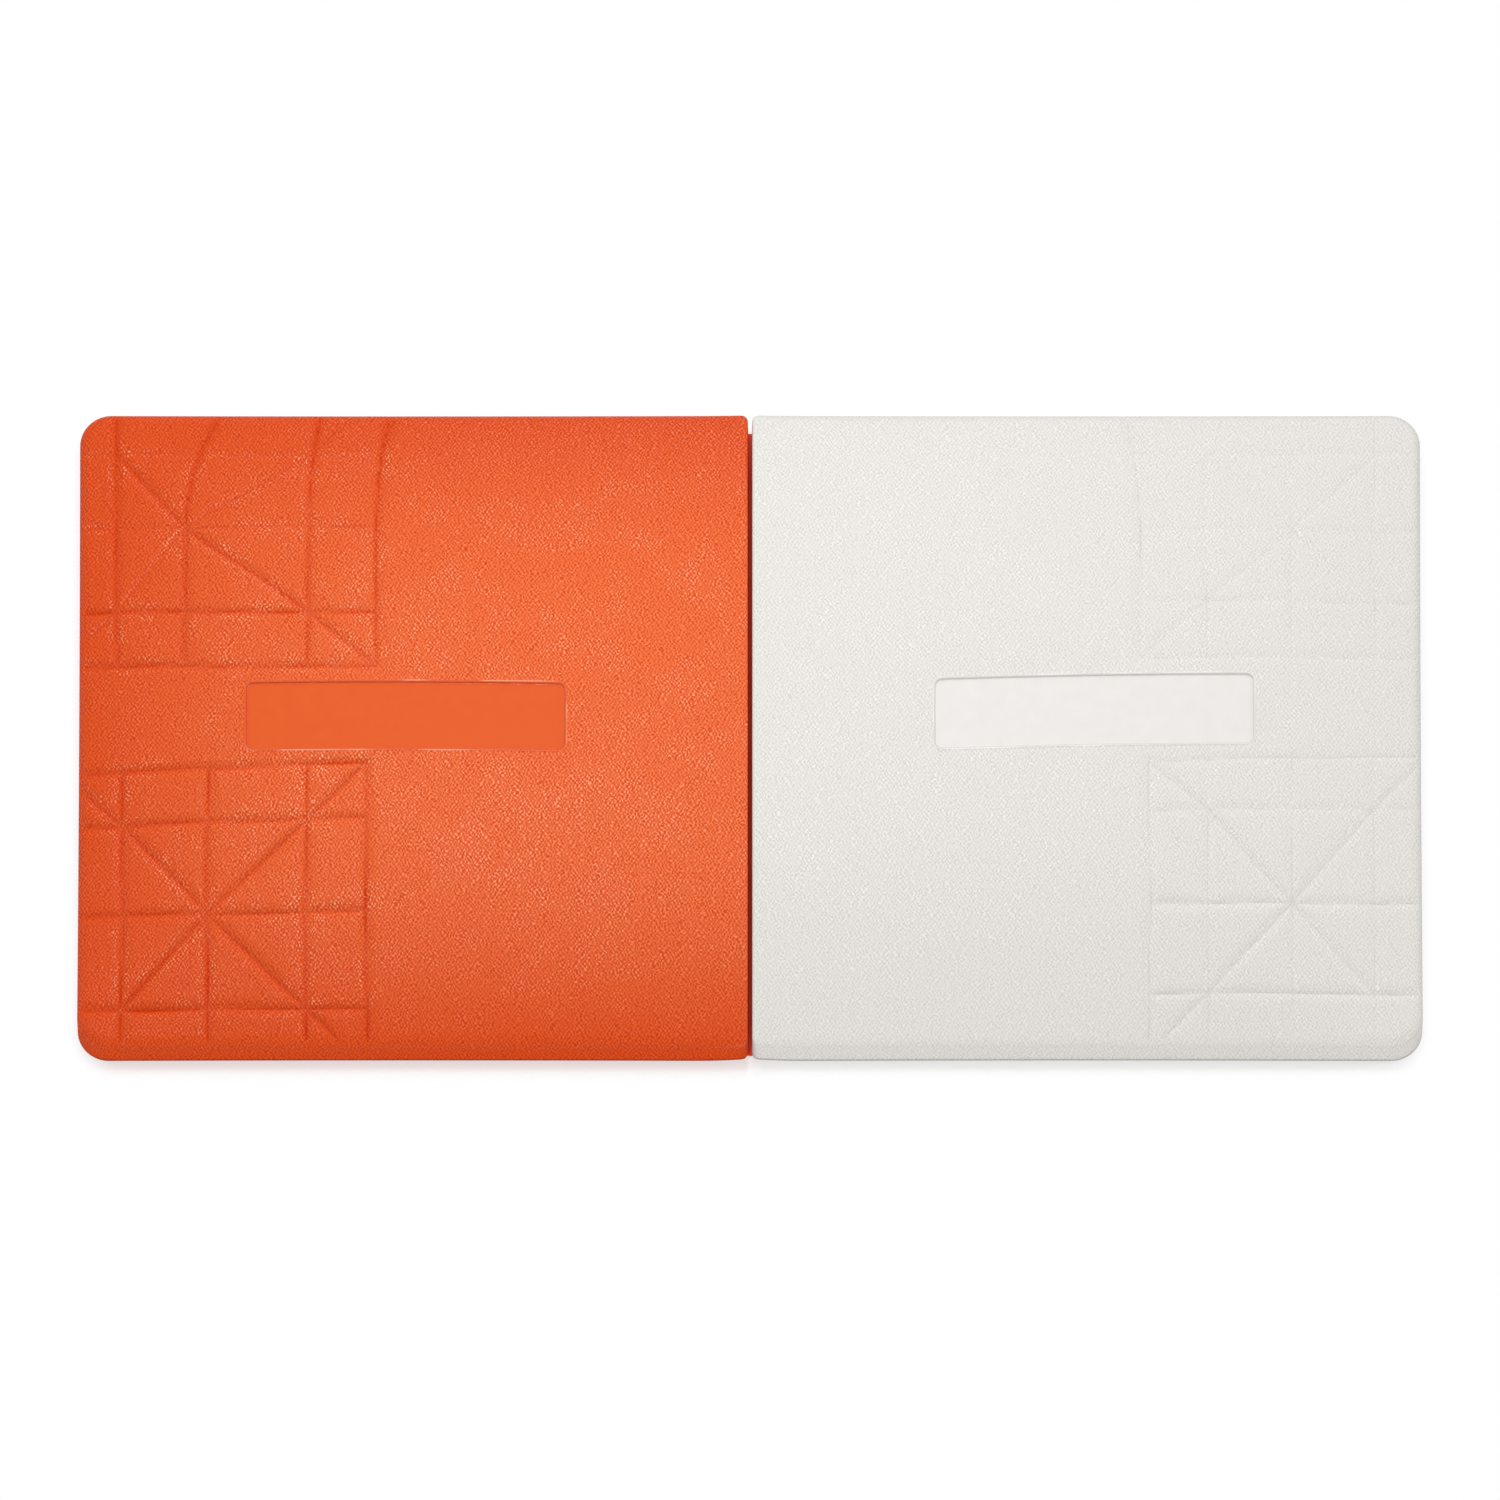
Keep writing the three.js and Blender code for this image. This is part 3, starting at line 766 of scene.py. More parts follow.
def quilt_wires(half):
    """The lines of a half's quilt channels in plan, as a mesh of edges for each press."""
    points, edges = {}, {}

    def add_line(press, stops):
        line_points = points.setdefault(press, [])
        line_edges = edges.setdefault(press, [])
        start = len(line_points)
        line_edges.extend((start + step, start + step + 1) for step in range(len(stops) - 1))
        line_points.extend(stops)

    for end in ENDS:
        quilt = QUILTS[half, end]
        columns, rows = quilt.columns, quilt.rows
        toward = 1 if (end == "back") == (half == "white") else -1

        def place(across, along, lean=0):
            leaning = across + lean * max(0, 1 - along / rows[1]) ** 2
            spread = along * (1 + quilt.spread * (leaning / columns[3] - SPREAD_FROM))
            return Vector((SEAM + SIDE - leaning * MM, toward * (MIDDLE - spread * MM), 0))

        for column, lean, press in zip(columns, quilt.leans, quilt.column_press):
            add_line(press, [place(column, along, lean) for along in np.linspace(0, rows[3], COLUMN_STOPS)])
        for row, press in zip(rows, quilt.row_press):
            add_line(press, [place(0, row), place(columns[3], row)])
        rising_press, falling_press = quilt.cross_press
        add_line(rising_press, [place(*crossing) for crossing in zip(columns, rows, quilt.leans)])
        falling = [place(columns[i], rows[2 - i], quilt.leans[i]) for i in range(3)]
        falling = [place(0, rows[2] + columns[0]), *falling, place(columns[2] + rows[0], 0)]
        add_line(falling_press, falling)
    return {press: mesh_of("quilt_wire", points[press], [], edges[press]) for press in points}


def to_panel(graph, u, v, panel, length):
    """Distance to a panel's outline, negative inside, from sizes that are numbers or named inputs."""
    width, offset, slope = panel
    along = u - PANEL_FROM_SEAM
    return graph.rounded_box(along, v - offset - slope * along, length / 2, width / 2, PANEL_RADIUS)


def quilted(half, blank):
    """The blank under its crown, with quilt channels pressed into its top and a recessed panel."""
    wires = {press: linked("quilt_wire", wire) for press, wire in quilt_wires(half).items()}
    panel = PANELS[half]
    form = Form(f"{half}_cover_form", {
        **CROWN_SIZES,
        **{f"Lines pressed {press}": wire for press, wire in wires.items()},
        "Sway": SWAY,
        "Crease reach": CREASE_REACH,
        "Crease depth": CREASE_DEPTH,
        "Dip reach": DIP_REACH,
        "Dip depth": DIP_DEPTH,
        "Run out": RUN_OUT,
        "Panel width": panel.width,
        "Panel offset": panel.offset,
        "Panel slope": panel.slope,
        "Panel length": PANEL_LENGTH,
        "Panel depth": PANEL_DEPTH,
        "Panel wall": PANEL_WALL,
        "Bead height": BEAD_HEIGHT,
        "Bead width": BEAD_WIDTH,
    })
    sizes = form.inputs
    place = form.node("GeometryNodeInputPosition")
    x, y, z = form.axes(place)
    u = x - sizes["Seam"]
    lift = form.attribute("lift")
    height = crown_height(form, u, y)

    wander = form.scaled(form.wander(place, SWAY_SCALE, 2.0), sizes["Sway"])
    offset = form.vector("MULTIPLY", wander, (1, 1, 0))
    channel, crease = 0.0, sizes["Side"]
    for press in wires:
        wire = sizes[f"Lines pressed {press}"]
        lines = form.node("GeometryNodeObjectInfo", None, {"Object": wire}, "Geometry")
        lines = form.node("GeometryNodeSubdivideMesh", None, {"Mesh": lines, "Level": LINE_SPLITS})
        lines = form.node("GeometryNodeSetPosition", None, {"Geometry": lines, "Offset": offset})
        sockets = {0: lines, "Sample Position": form.joined(x, y, 0.0)}
        distance = form.node("GeometryNodeProximity", {"target_element": "EDGES"}, sockets, "Distance")
        groove = form.most(1 - distance / sizes["Crease reach"], 0.0) ** CREASE_CURVE
        dip = form.most(1 - distance / sizes["Dip reach"], 0.0) ** DIP_CURVE
        depth = groove * sizes["Crease depth"] + dip * sizes["Dip depth"]
        channel = form.most(channel, depth * press)
        crease = form.least(crease, distance / press)
    to_edge = form.least(sizes["Side"] - u, sizes["Middle"] - abs(y))
    kept = form.ease(to_edge, 0.0, sizes["Run out"]) * lift
    patch = form.noise(place, PATCH_SCALE, 2.0, "2D")
    channel = channel * (PATCH_LEAST + PATCH_SPAN * patch) * kept

    named = (sizes["Panel width"], sizes["Panel offset"], sizes["Panel slope"])
    beside = to_panel(form, u, y, named, sizes["Panel length"])
    recess = sizes["Panel depth"] * (1 - form.ease(beside, 0 - sizes["Panel wall"], 0.0))
    half_bead = sizes["Bead width"] / 2
    bead = sizes["Bead height"] * (1 - form.ease(abs(beside - half_bead), 0.0, half_bead))
    pressed = (recess - bead) * form.math("COMPARE", lift, 1.0, NEAR)

    fall = height - z - lift * height
    beyond = form.scaled(form.attribute("outward", "FLOAT_VECTOR"), fall * WALL_STRETCH)
    grain = form.vector("ADD", form.joined(u, y, 0.0), beyond)
    shaped = form.store(sizes["Geometry"], "grain", grain)
    shaped = form.store(shaped, "crease", crease + (1 - kept) * SHOULDER_END, "FLOAT")
    raised = form.joined(x, y, z + lift * height - channel - pressed)
    shaped = form.node("GeometryNodeSetPosition", None, {"Geometry": shaped, "Position": raised})
    form.close(shaped, RUBBERS[half])
    made = form.run(blank)
    for wire in wires.values():
        bpy.data.objects.remove(wire)
    return made


# Materials
def new_material(name):
    material = bpy.data.materials.new(name)
    material.use_nodes = True
    graph = Graph(material.node_tree)
    shader = material.node_tree.nodes["Principled BSDF"]
    return material, graph, shader


def srgb(red, green, blue):
    """A colour written as a picture shows it, as the shader takes it."""
    def linear(value):
        share = value / 255
        return share / 12.92 if share <= 0.04045 else ((share + 0.055) / 1.055) ** 2.4
    return (linear(red), linear(green), linear(blue), 1.0)


# Tints of the grained rubber: pebble tops, pits with painted shade, both again deeper low on the crown as
# painted shade, the panel, the darkest tint for painted shade at feet and creases, and a pale tint for painted
# glints
Tints = namedtuple("Tints", "top pit low_top low_pit panel crease worn")


def grained_rubber(half, tints):
    """Pebbled rubber, smooth in the panel and on the underside, with painted shade deeper low on the crown, in
    the pits, at the panel's foot and along the creases, and painted glints.
    """
    material, graph, shader = new_material(f"{half}_grained_rubber")
    place = graph.node("ShaderNodeAttribute", {"attribute_name": "grain"}, None, "Vector")
    crease = graph.node("ShaderNodeAttribute", {"attribute_name": "crease"}, None, "Fac")
    u, v, _ = graph.axes(place)
    height = graph.axes(graph.object_place())[2]
    under = 1 - graph.ease(height, 0.0, 2 * FOOT_ROUND)
    crease = crease + under * SIDE
    beside = to_panel(graph, u, v, PANELS[half], PANEL_LENGTH) + under * SIDE
    grained = graph.ease(beside, 0.0, BEAD_WIDTH) * (1 - under)

    stray = graph.scaled(graph.wander(place, STRAY_SCALE, 1.0), PEBBLE_STRAY)
    across, along, _ = graph.axes(graph.vector("ADD", place, stray))
    ripple = graph.math("COSINE", across * (2 * math.pi / PEBBLE_PITCH))
    ripple = ripple * graph.math("COSINE", along * (math.pi / PEBBLE_ROW))
    speck = graph.noise(place, SPECK_SCALE, 1.0, "2D") - 0.5
    broad = graph.noise(place, SWELL_SCALE, 2.0, "2D")
    swell = (SWELL_LEAST + SWELL_SPAN * graph.ease(broad, *SWELL_EDGES)) * grained
    pebble = (ripple + SPECK_TONE * speck) * swell
    bumps = (RIPPLE_BUMP * ripple + SPECK_BUMP * speck) * swell
    normal = graph.node("ShaderNodeBump", None, {"Distance": PEBBLE_HEIGHT, "Height": bumps})

    # Painted shade in the pits between the pebbles, darker than the pebble tops
    pit_shade = 0.5 - 0.5 * pebble
    # Painted shade: the colour deepens low on the crown, where the falling slopes get less light
    crown = graph.ease(height, EDGE_HEIGHT - FREE_ROUND, CROWN_HEIGHT)
    tops = graph.blended(crown, tints.low_top, tints.top)
    tone = graph.blended(pit_shade, tops, graph.blended(crown, tints.low_pit, tints.pit))
    panel = graph.blended(MOTTLE_DARK * broad, tints.panel, tints.crease)
    tone = graph.blended(graph.ease(beside, 0 - PANEL_WALL, 0.0), panel, tone)
    # Painted shade at the foot of the panel's wall
    foot = 1 - graph.ease(abs(beside + PANEL_WALL / 2), 0.0, PANEL_WALL)
    tone = graph.blended(FOOT_SHADE * foot, tone, tints.crease)
    # Painted shade along the channel creases
    line = 1 - graph.ease(crease, 0.0, CREASE_LINE)
    tone = graph.blended(LINE_SHADE * line, tone, tints.crease)

    # Painted highlights: pale glints on pebble tops on the crown and on the channels' shoulders, and a pale
    # line on the panel's rim
    patch = graph.ease(graph.noise(place, GLINT_PATCH_SCALE, 2.0, "2D"), *GLINT_PATCH_EDGES)
    shoulder = graph.ease(crease, SHOULDER_START, 2 * SHOULDER_START)
    shoulder = shoulder * (1 - graph.ease(crease, SHOULDER_END / 2, SHOULDER_END))
    worn = graph.ease(pebble, *GLINT_TOPS) * patch * (CROWN_GLINT * crown + SHOULDER_GLINT * shoulder)
    rim_glint = patch * (1 - graph.ease(abs(beside - BEAD_WIDTH / 2), 0.0, RIM_WIDTH))
    tone = graph.blended(worn + RIM_GLINT * rim_glint, tone, tints.worn)
    above = graph.ease(height, EDGE_HEIGHT - 1.5 * FREE_ROUND, EDGE_HEIGHT)
    smooth = TOP_SMOOTH + PEBBLE_SMOOTH * graph.ease(pebble, *SMOOTH_TOPS)
    rim = graph.ease(beside, -2 * PANEL_WALL, -PANEL_WALL) * (1 - graph.ease(beside, 0.0, BEAD_WIDTH / 2))
    graph.fill(shader, {
        "Base Color": tone,
        "Roughness": WALL_ROUGHNESS - above * smooth,
        "Normal": normal,
        "Specular IOR Level": GRAIN_SPECULAR,
        "Coat Weight": RIM_COAT * rim,
        "Coat Roughness": COAT_ROUGHNESS,
    })
    return material


def plain_rubber(name, colour, speck, roughness):
    material, graph, shader = new_material(name)
    place = graph.object_place()
    tooth = graph.noise(place, TOOTH_SCALE)
    blotch = graph.noise(place, BLOTCH_SCALE, 3.0)
    sockets = {"Strength": TOOTH_STRENGTH, "Distance": TOOTH_BUMP, "Height": tooth}
    graph.fill(shader, {
        "Base Color": graph.blended(graph.ease(blotch, *BLOTCH_EDGES), colour, speck),
        "Roughness": roughness + BLOTCH_GLOSS * (blotch - 0.5),
        "Normal": graph.node("ShaderNodeBump", None, sockets),
        "Specular IOR Level": PLAIN_SPECULAR,
    })
    return material


def zinc_steel(name):
    material, graph, shader = new_material(name)
    place = graph.object_place()
    sockets = {"Vector": place, "Scale": SPANGLE_SCALE}
    spangle = graph.node("ShaderNodeTexVoronoi", None, sockets, "Color")
    shade = graph.axes(spangle)[0]
    graph.fill(shader, {
        "Base Color": graph.blended(shade, srgb(176, 180, 184), srgb(206, 209, 212)),
        "Metallic": 1.0,
        "Roughness": ZINC_ROUGHNESS + SPANGLE_GLOSS * shade,
    })
    return material


def open_foam(name):
    material, graph, shader = new_material(name)
    place = graph.object_place()
    cell = graph.node("ShaderNodeTexVoronoi", None, {"Vector": place, "Scale": CELL_SCALE}, "Distance")
    pore = graph.ease(cell, *CELL_EDGES)
    sockets = {"Strength": CELL_STRENGTH, "Distance": CELL_BUMP, "Height": cell}
    graph.fill(shader, {
        "Base Color": graph.blended(pore, srgb(196, 182, 142), srgb(224, 212, 178)),
        "Roughness": FOAM_ROUGHNESS,
        "Normal": graph.node("ShaderNodeBump", None, sockets),
    })
    return material


RUBBERS = {
    "orange": grained_rubber("orange", Tints(
        top=srgb(251, 125, 70),
        pit=srgb(211, 68, 12),
        low_top=srgb(233, 84, 14),
        low_pit=srgb(196, 52, 0),
        panel=srgb(230, 94, 34),
        crease=srgb(200, 58, 14),
        worn=srgb(255, 186, 146),
    )),
    "white": grained_rubber("white", Tints(
        top=srgb(240, 237, 232),
        pit=srgb(216, 213, 208),
        low_top=srgb(238, 235, 230),
        low_pit=srgb(215, 212, 207),
        panel=srgb(238, 234, 231),
        crease=srgb(196, 192, 186),
        worn=srgb(253, 251, 248),
    )),
}
# Painted shade: the strap's deep red tint stands in for the dim, red bounce light in the narrow seam gap, so
# in open light it looks redder than the covers
STRAP_RUBBER = plain_rubber("strap_rubber", srgb(246, 76, 56), srgb(234, 66, 48), 0.6)
PAD_RUBBER = plain_rubber("pad_rubber", srgb(40, 40, 41), srgb(54, 53, 52), 0.75)
BOARD_SHEET = plain_rubber("board_sheet", srgb(58, 60, 62), srgb(70, 72, 74), 0.65)
STEEL = zinc_steel("zinc_steel")
FOAM = open_foam("open_foam")


# Covers
def screw_spots(half, kinds):
    """Middles of a half's screw heads, on the white half."""
    spots = []
    for node in sorted(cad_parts):
        if node.startswith(half) and any(kind in node for kind in kinds):
            low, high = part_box(node)
            spots.append(TURNS[half] @ Vector(((low.x + high.x) / 2, (low.y + high.y) / 2, low.z)))
    return spots


def countersink(spot):
    wide = HEAD_RADIUS + FIT
    narrow = SHANK_RADIUS + FIT
    profile = [
        (0, spot.z - OVERCUT),
        (wide, spot.z - OVERCUT),
        (wide, spot.z),
        (narrow, spot.z + HEAD_HEIGHT),
        (narrow, BOARD_HIGH.z),
        (0, BOARD_HIGH.z),
    ]
    return turned_solid("countersink", profile, spot)


def make_cover(half):
    rounds = (SEAM_ROUND, FREE_ROUND)
    lines = cover_lines(PANELS[half], rounds)
    shell = quilted(half, crowned_blank("cover_blank", 0, 0, lines, rounds, SEAM_DRAFT))
    rounds = (INNER_ROUND, INNER_ROUND)
    hollow = crowned_blank("hollow_blank", SKIN, LIP_THICK, coarse_lines(SKIN, rounds), rounds)
    hollow = crowned("hollow_form", hollow, RUBBERS[half])
    opening_low = Vector((PAD_LOW.x - FIT, PAD_LOW.y - FIT))
    opening_high = Vector((PAD_HIGH.x + FIT, PAD_HIGH.y + FIT))
    opening = rounded_outline(opening_low, opening_high, LEAST_CORNER)
    opening = prism("opening", opening, -OVERCUT, LIP_THICK + OVERCUT)
    seat_reach = MIDDLE - SKIN - FIT
    seat_low = Vector((SEAM - OVERCUT, -seat_reach))
    seat_high = Vector((STRAP_HIGH.x + FIT, seat_reach))
    seat = prism("seat", rounded_outline(seat_low, seat_high, FIT, 1), -OVERCUT, STRAP_HIGH.z + FIT)
    sinks = [countersink(spot) for spot in screw_spots(half, ("lip_screw", "strap_screw"))]
    shell = cut(shell, [hollow, opening, seat, *sinks])
    cover = piece_of(f"{half}_cover_skin", shell, RUBBERS[half], [f"{half}_cover"], half)


for half in HALVES:
    make_cover(half)


# Foam cores
def make_foam(half):
    rounds = (INNER_ROUND, INNER_ROUND)
    inset = SKIN + FIT
    blank = crowned_blank("foam_blank", inset, FOAM_LOW.z, coarse_lines(inset, rounds), rounds)
    shape = crowned("foam_form", blank, FOAM)
    foam = piece_of(f"{half}_foam_block", shape, FOAM, [f"{half}_foam_core"], half)


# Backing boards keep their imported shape
def finish_board(half):
    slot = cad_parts[f"{half}_backing_board"].material_slots[0]
    slot.link = "OBJECT"
    slot.material = BOARD_SHEET


# Non-slip pads with rows of pockets
def pocket_row(low, high):
    room = high - low - POCKET_RIB - 2 * SIDE_BOW
    return math.floor(room / (POCKET_SIZE + POCKET_RIB))


def make_pad(half):
    slab = prism("pad_slab", rounded_outline(PAD_LOW, PAD_HIGH, PAD_CORNER), PAD_LOW.z, PAD_HIGH.z)
    space = Vector((FIT, FIT, 0))
    room = rounded_outline(PLATE_LOW - space, PLATE_HIGH + space, PLATE_CORNER)
    slab = cut(slab, [prism("plate_room", room, -OVERCUT, PAD_HIGH.z + OVERCUT)])
    middle = (PAD_LOW + PAD_HIGH) / 2
    plate_middle = (PLATE_LOW + PLATE_HIGH) / 2
    across = pocket_row(PAD_LOW.x, PAD_HIGH.x)
    along = pocket_row(PAD_LOW.y, PAD_HIGH.y)
    form = Form("pad_pockets", {
        "Pocket size": POCKET_SIZE,
        "Pocket draft": POCKET_DRAFT,
        "Pocket depth": POCKET_DEPTH,
        "Pitch": POCKET_SIZE + POCKET_RIB,
        "Middle": middle.x,
        "Plate middle": plate_middle.x,
        "Keep off": (PLATE_HIGH.x - PLATE_LOW.x) / 2 + FIT + POCKET_RIB + POCKET_SIZE / 2,
    })
    sizes = form.inputs
    sockets = {
        "Size X": sizes["Pitch"] * (across - 1),
        "Size Y": sizes["Pitch"] * (along - 1),
        "Vertices X": across,
        "Vertices Y": along,
    }
    grid = form.node("GeometryNodeMeshGrid", None, sockets, "Mesh")
    grid = form.moved(grid, form.joined(sizes["Middle"], 0.0, 0.0))
    x, y, _ = form.axes(form.node("GeometryNodeInputPosition"))
    clear = form.most(abs(x - sizes["Plate middle"]), abs(y)) - sizes["Keep off"]
    free = form.math("GREATER_THAN", clear, 0.0)
    sockets = {
        "Vertices": 4,
        "Radius Bottom": (sizes["Pocket size"] + sizes["Pocket draft"]) / math.sqrt(2),
        "Radius Top": (sizes["Pocket size"] - sizes["Pocket draft"]) / math.sqrt(2),
        "Depth": sizes["Pocket depth"] * 2,
    }
    pocket = form.node("GeometryNodeMeshCone", None, sockets, "Mesh")
    pocket = form.moved(pocket, form.joined(0.0, 0.0, 0 - sizes["Pocket depth"]), (0, 0, math.pi / 4))
    sockets = {"Points": grid, "Selection": free, "Instance": pocket}
    pockets = form.node("GeometryNodeInstanceOnPoints", None, sockets)
    pockets = form.node("GeometryNodeRealizeInstances", None, {"Geometry": pockets})
    pressed = form.combined("DIFFERENCE", {"Mesh 1": sizes["Geometry"], "Mesh 2": pockets})
    form.close(pressed, PAD_RUBBER)
    shape = softened(form.run(slab), PAD_EDGE)
    piece_of(f"{half}_tread_pad", shape, PAD_RUBBER, [f"{half}_bottom_pad"], half)


# Steel plates for a bolted stanchion
def make_plate(half):
    outline = rounded_outline(PLATE_LOW, PLATE_HIGH, PLATE_CORNER)
    slab = prism("plate_slab", outline, PLATE_LOW.z, PLATE_HIGH.z)
    middle = (PLATE_LOW + PLATE_HIGH) / 2
    top = LIP_THICK + OVERCUT
    profile = [(0, -OVERCUT), (BOLT_RADIUS, -OVERCUT), (BOLT_RADIUS, top), (0, top)]
    holes = [countersink(spot) for spot in screw_spots(half, ("plate_screw",))]
    for x in (-1, 1):
        for y in (-1, 1):
            spot = Vector((middle.x + x * BOLT_PITCH / 2, middle.y + y * BOLT_PITCH / 2))
            holes.append(turned_solid("bolt_hole", profile, spot))
    shape = softened(cut(slab, holes), PLATE_EDGE)
    piece_of(f"{half}_ground_plate", shape, STEEL, [f"{half}_stanchion_plate"], half)


# Screws with a cross recess
def screw_shape(form, length):
    sizes = form.inputs

    def cone(low, high, depth, base):
        sockets = {"Vertices": SCREW_SIDES, "Radius Bottom": low, "Radius Top": high, "Depth": depth}
        solid = form.node("GeometryNodeMeshCone", None, sockets, "Mesh")
        return form.moved(solid, form.joined(0.0, 0.0, base))

    def bar(x, y):
        sockets = {"Size": form.joined(x, y, sizes["Recess depth"] * 2)}
        return form.node("GeometryNodeMeshCube", None, sockets, "Mesh")

    radius = sizes["Shank radius"]
    straight = length - sizes["Point"]
    head = cone(sizes["Head radius"], radius, sizes["Head height"], 0.0)
    shank = cone(radius, radius * SHANK_TAPER, straight - SHANK_START, SHANK_START)
    point = cone(radius * POINT_TAPER, POINT_TIP, sizes["Point"], straight - POINT_LAP)
    body = form.combined("UNION", {"Mesh 2": [head, shank, point]})
    long, wide = sizes["Recess length"], sizes["Recess width"]
    return form.combined("DIFFERENCE", {"Mesh 1": body, "Mesh 2": [bar(long, wide), bar(wide, long)]})


SCREW_KINDS = ("lip_screw", "strap_screw", "plate_screw")


def make_screws(half):
    points, kinds, lengths = [], [], {}
    for index, kind in enumerate(SCREW_KINDS):
        for spot in screw_spots(half, (kind,)):
            points.append(spot)
            kinds.append(index)
            lengths[kind] = SCREW_HIGH.z - spot.z
    mesh = mesh_of("screw_spots", points, [])
    mesh.attributes.new("kind", "FLOAT", "POINT").data.foreach_set("value", np.array(kinds, float))
    form = Form("screw_set", {
        "Head radius": HEAD_RADIUS,
        "Head height": HEAD_HEIGHT,
        "Shank radius": SHANK_RADIUS,
        "Point": SCREW_POINT,
        "Recess length": RECESS_LENGTH,
        "Recess width": RECESS_WIDTH,
        "Recess depth": RECESS_DEPTH,
        **{f"Length of {kind}": lengths[kind] for kind in SCREW_KINDS},
    })
    groups = []
    for index, kind in enumerate(SCREW_KINDS):
        sockets = {
            "Points": form.inputs["Geometry"],
            "Selection": form.math("COMPARE", form.attribute("kind"), float(index), NEAR),
            "Instance": screw_shape(form, form.inputs[f"Length of {kind}"]),
        }
        groups.append(form.node("GeometryNodeInstanceOnPoints", None, sockets))
    form.close(form.node("GeometryNodeJoinGeometry", None, {"Geometry": groups}), STEEL)
    shape = form.run(mesh)
    nodes = [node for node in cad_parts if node.startswith(half) and "screw" in node]
    piece_of(f"{half}_screws", shape, STEEL, nodes, half)


# Joining strap, with closer lines along the seam where it would bend
def make_strap():
    tongue = SEAM - TONGUE_GAP
    columns = graded([
        (STRAP_LOW.x, STRAP_PITCH),
        (-2 * SEAM, BEND_PITCH),
        (-tongue, BEND_PITCH),
        (tongue, BEND_PITCH),
        (2 * SEAM, STRAP_PITCH),
        (STRAP_HIGH.x, 0),
    ])
    end = MIDDLE - SKIN - 2 * FIT
    tip = STRAP_HIGH.y - TONGUE_SHORT
    rows = graded([(-tip, STRAP_PITCH), (-end, STRAP_PITCH), (end, STRAP_PITCH), (tip, 0)])
    count = len(rows)
    points = [(x, y, z) for z in (STRAP_LOW.z, STRAP_HIGH.z) for x in columns for y in rows]
    above = len(columns) * count
    kept = set()
    for i, x in enumerate((columns[:-1] + columns[1:]) / 2):
        for j, y in enumerate((rows[:-1] + rows[1:]) / 2):
            if abs(x) < tongue or abs(y) < end:
                kept.add((i, j))
    faces = []
    for i, j in sorted(kept):
        a, b, c, d = i * count + j, (i + 1) * count + j, (i + 1) * count + j + 1, i * count + j + 1
        faces.append((above + a, above + b, above + c, above + d))
        faces.append((d, c, b, a))
        beside = [((i, j - 1), a, b), ((i + 1, j), b, c), ((i, j + 1), c, d), ((i - 1, j), d, a)]
        for cell, start, after in beside:
            if cell not in kept:
                faces.append((start, after, above + after, above + start))
    slab = loose_removed(mesh_of("strap_slab", points, faces))
    holes = []
    for half in HALVES:
        for spot in screw_spots(half, ("strap_screw",)):
            holes.append(countersink(TURNS[half] @ spot))
    strap = piece_of("seam_strap", cut(slab, holes), STRAP_RUBBER, ["joining_strap"])
    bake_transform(strap)


for half in HALVES:
    make_foam(half)
    finish_board(half)
    make_pad(half)
    make_plate(half)
    make_screws(half)
make_strap()


# Camera, which looks over the front edge
def make_camera():
    camera = bpy.data.cameras.new("camera")
    camera.sensor_width = SENSOR
    camera.lens = SENSOR * CAMERA_DISTANCE / FRAME_WIDTH
    camera.clip_start = CLIP_START
    camera.clip_end = 2 * CAMERA_DISTANCE
    back = Vector((0, -math.cos(CAMERA_TILT), math.sin(CAMERA_TILT)))
    viewer = linked("camera", camera)
    viewer.location = CAMERA_AIM + back * CAMERA_DISTANCE
    viewer.rotation_euler = (-back).to_track_quat("-Z", "Y").to_euler()
    bpy.context.scene.camera = viewer


# Lamps and world
def make_lamp(name, lamp):
    light = bpy.data.lights.new(name, "AREA")
    light.shape = "RECTANGLE"
    light.size, light.size_y = lamp.size
    light.energy = lamp.power
    lit = linked(name, light)
    lit.location = lamp.place
    lit.rotation_euler = (Vector(lamp.aim) - Vector(lamp.place)).to_track_quat("-Z", "Y").to_euler()
    lit.visible_camera = False
    lit.visible_glossy = lamp.mirrored


def bare_graph(owner):
    """The emptied node tree of a world or a material."""
    owner.use_nodes = True
    owner.node_tree.nodes.clear()
    return Graph(owner.node_tree)


def looked_at(graph):
    """One where the camera, a mirror or a clear piece looks, and zero where light is gathered."""
    rays = graph.outputs("ShaderNodeLightPath", "Is Camera Ray", "Is Glossy Ray", "Is Transmission Ray")
    return graph.least(rays[0] + rays[1] + rays[2], 1.0)


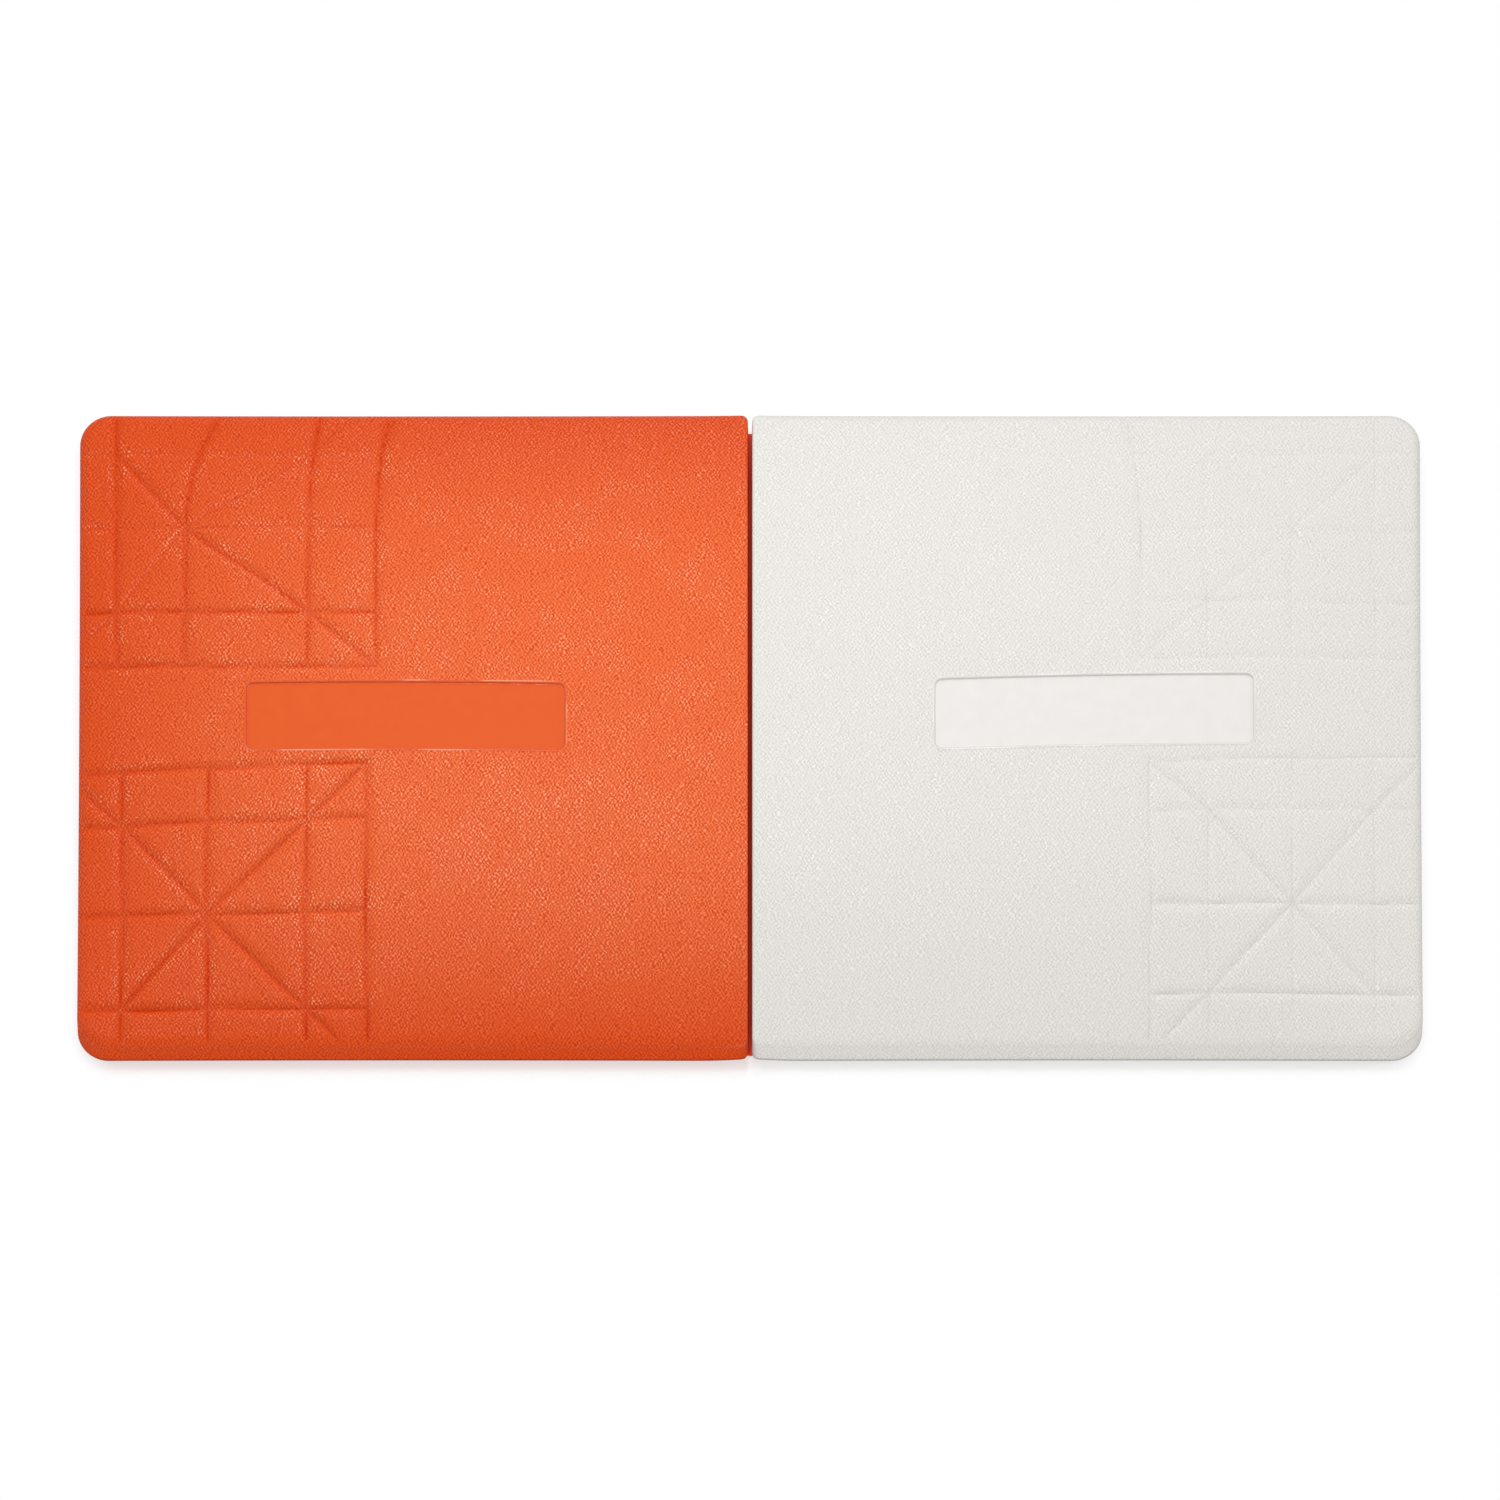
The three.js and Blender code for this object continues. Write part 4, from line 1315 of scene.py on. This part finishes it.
def make_world():
    world = bpy.data.worlds.new("studio")
    bpy.context.scene.world = world
    graph = bare_graph(world)
    lighting = graph.node("ShaderNodeBackground", None, {"Color": WHITE, "Strength": WORLD_LEVEL})
    backdrop = graph.node("ShaderNodeBackground", None, {"Color": WHITE, "Strength": 1.0})
    both = graph.mixed(looked_at(graph), lighting, backdrop)
    graph.node("ShaderNodeOutputWorld", None, {"Surface": both})


# Floor: a pale sheet round the base, seen only from high above and where the base's shadow falls on it
def make_floor():
    reach = Vector((COVER_HIGH.x, COVER_HIGH.y, 0))
    outer = reach + Vector((FLOOR_MARGIN, FLOOR_MARGIN, 0))
    inner = reach - Vector((FLOOR_TUCK, FLOOR_TUCK, 0))
    corners = [(-1, -1), (1, -1), (1, 1), (-1, 1)]
    points = [(x * ring.x, y * ring.y, -FLOOR_DROP) for ring in (outer, inner) for x, y in corners]
    faces = [(i, (i + 1) % 4, 4 + (i + 1) % 4, 4 + i) for i in range(4)]
    material = bpy.data.materials.new("pale_floor")
    graph = bare_graph(material)

    def diffuse(level):
        return graph.node("ShaderNodeBsdfDiffuse", None, {"Color": (level, level, level, 1)})

    behind, toward = graph.outputs("ShaderNodeNewGeometry", "Backfacing", "Incoming")
    x, y, _ = graph.axes(graph.object_place())
    beyond = graph.rounded_box(x, y, reach.x, reach.y, OUTER_CORNER)
    from_shadow = graph.rounded_box(x, y, reach.x - SHADOW_SIDE, reach.y, OUTER_CORNER)
    low = 1 - graph.ease(graph.axes(toward)[2], *FLOOR_FADE)
    unshaded = graph.most(graph.ease(from_shadow, 0.0, SHADOW_REACH), low)
    nothing = graph.node("ShaderNodeBsdfTransparent")
    pale = graph.mixed(graph.ease(beyond, -FLOOR_DROP, 0.0), nothing, diffuse(FLOOR_BOUNCE))
    glow = graph.node("ShaderNodeEmission", None, {"Color": WHITE, "Strength": FLOOR_GLOW})
    shaded = graph.node("ShaderNodeAddShader", None, {0: diffuse(FLOOR_SHADE), 1: glow})
    above = graph.mixed(looked_at(graph), pale, graph.mixed(unshaded, shaded, nothing))
    graph.node("ShaderNodeOutputMaterial", None, {"Surface": graph.mixed(behind, above, nothing)})
    mesh = mesh_of("floor", points, faces)
    mesh.materials.append(material)
    linked("floor", mesh)


make_camera()
make_floor()
make_world()
for name, lamp in LAMPS.items():
    make_lamp(name, lamp)

bpy.context.scene.view_settings.view_transform = "Standard"
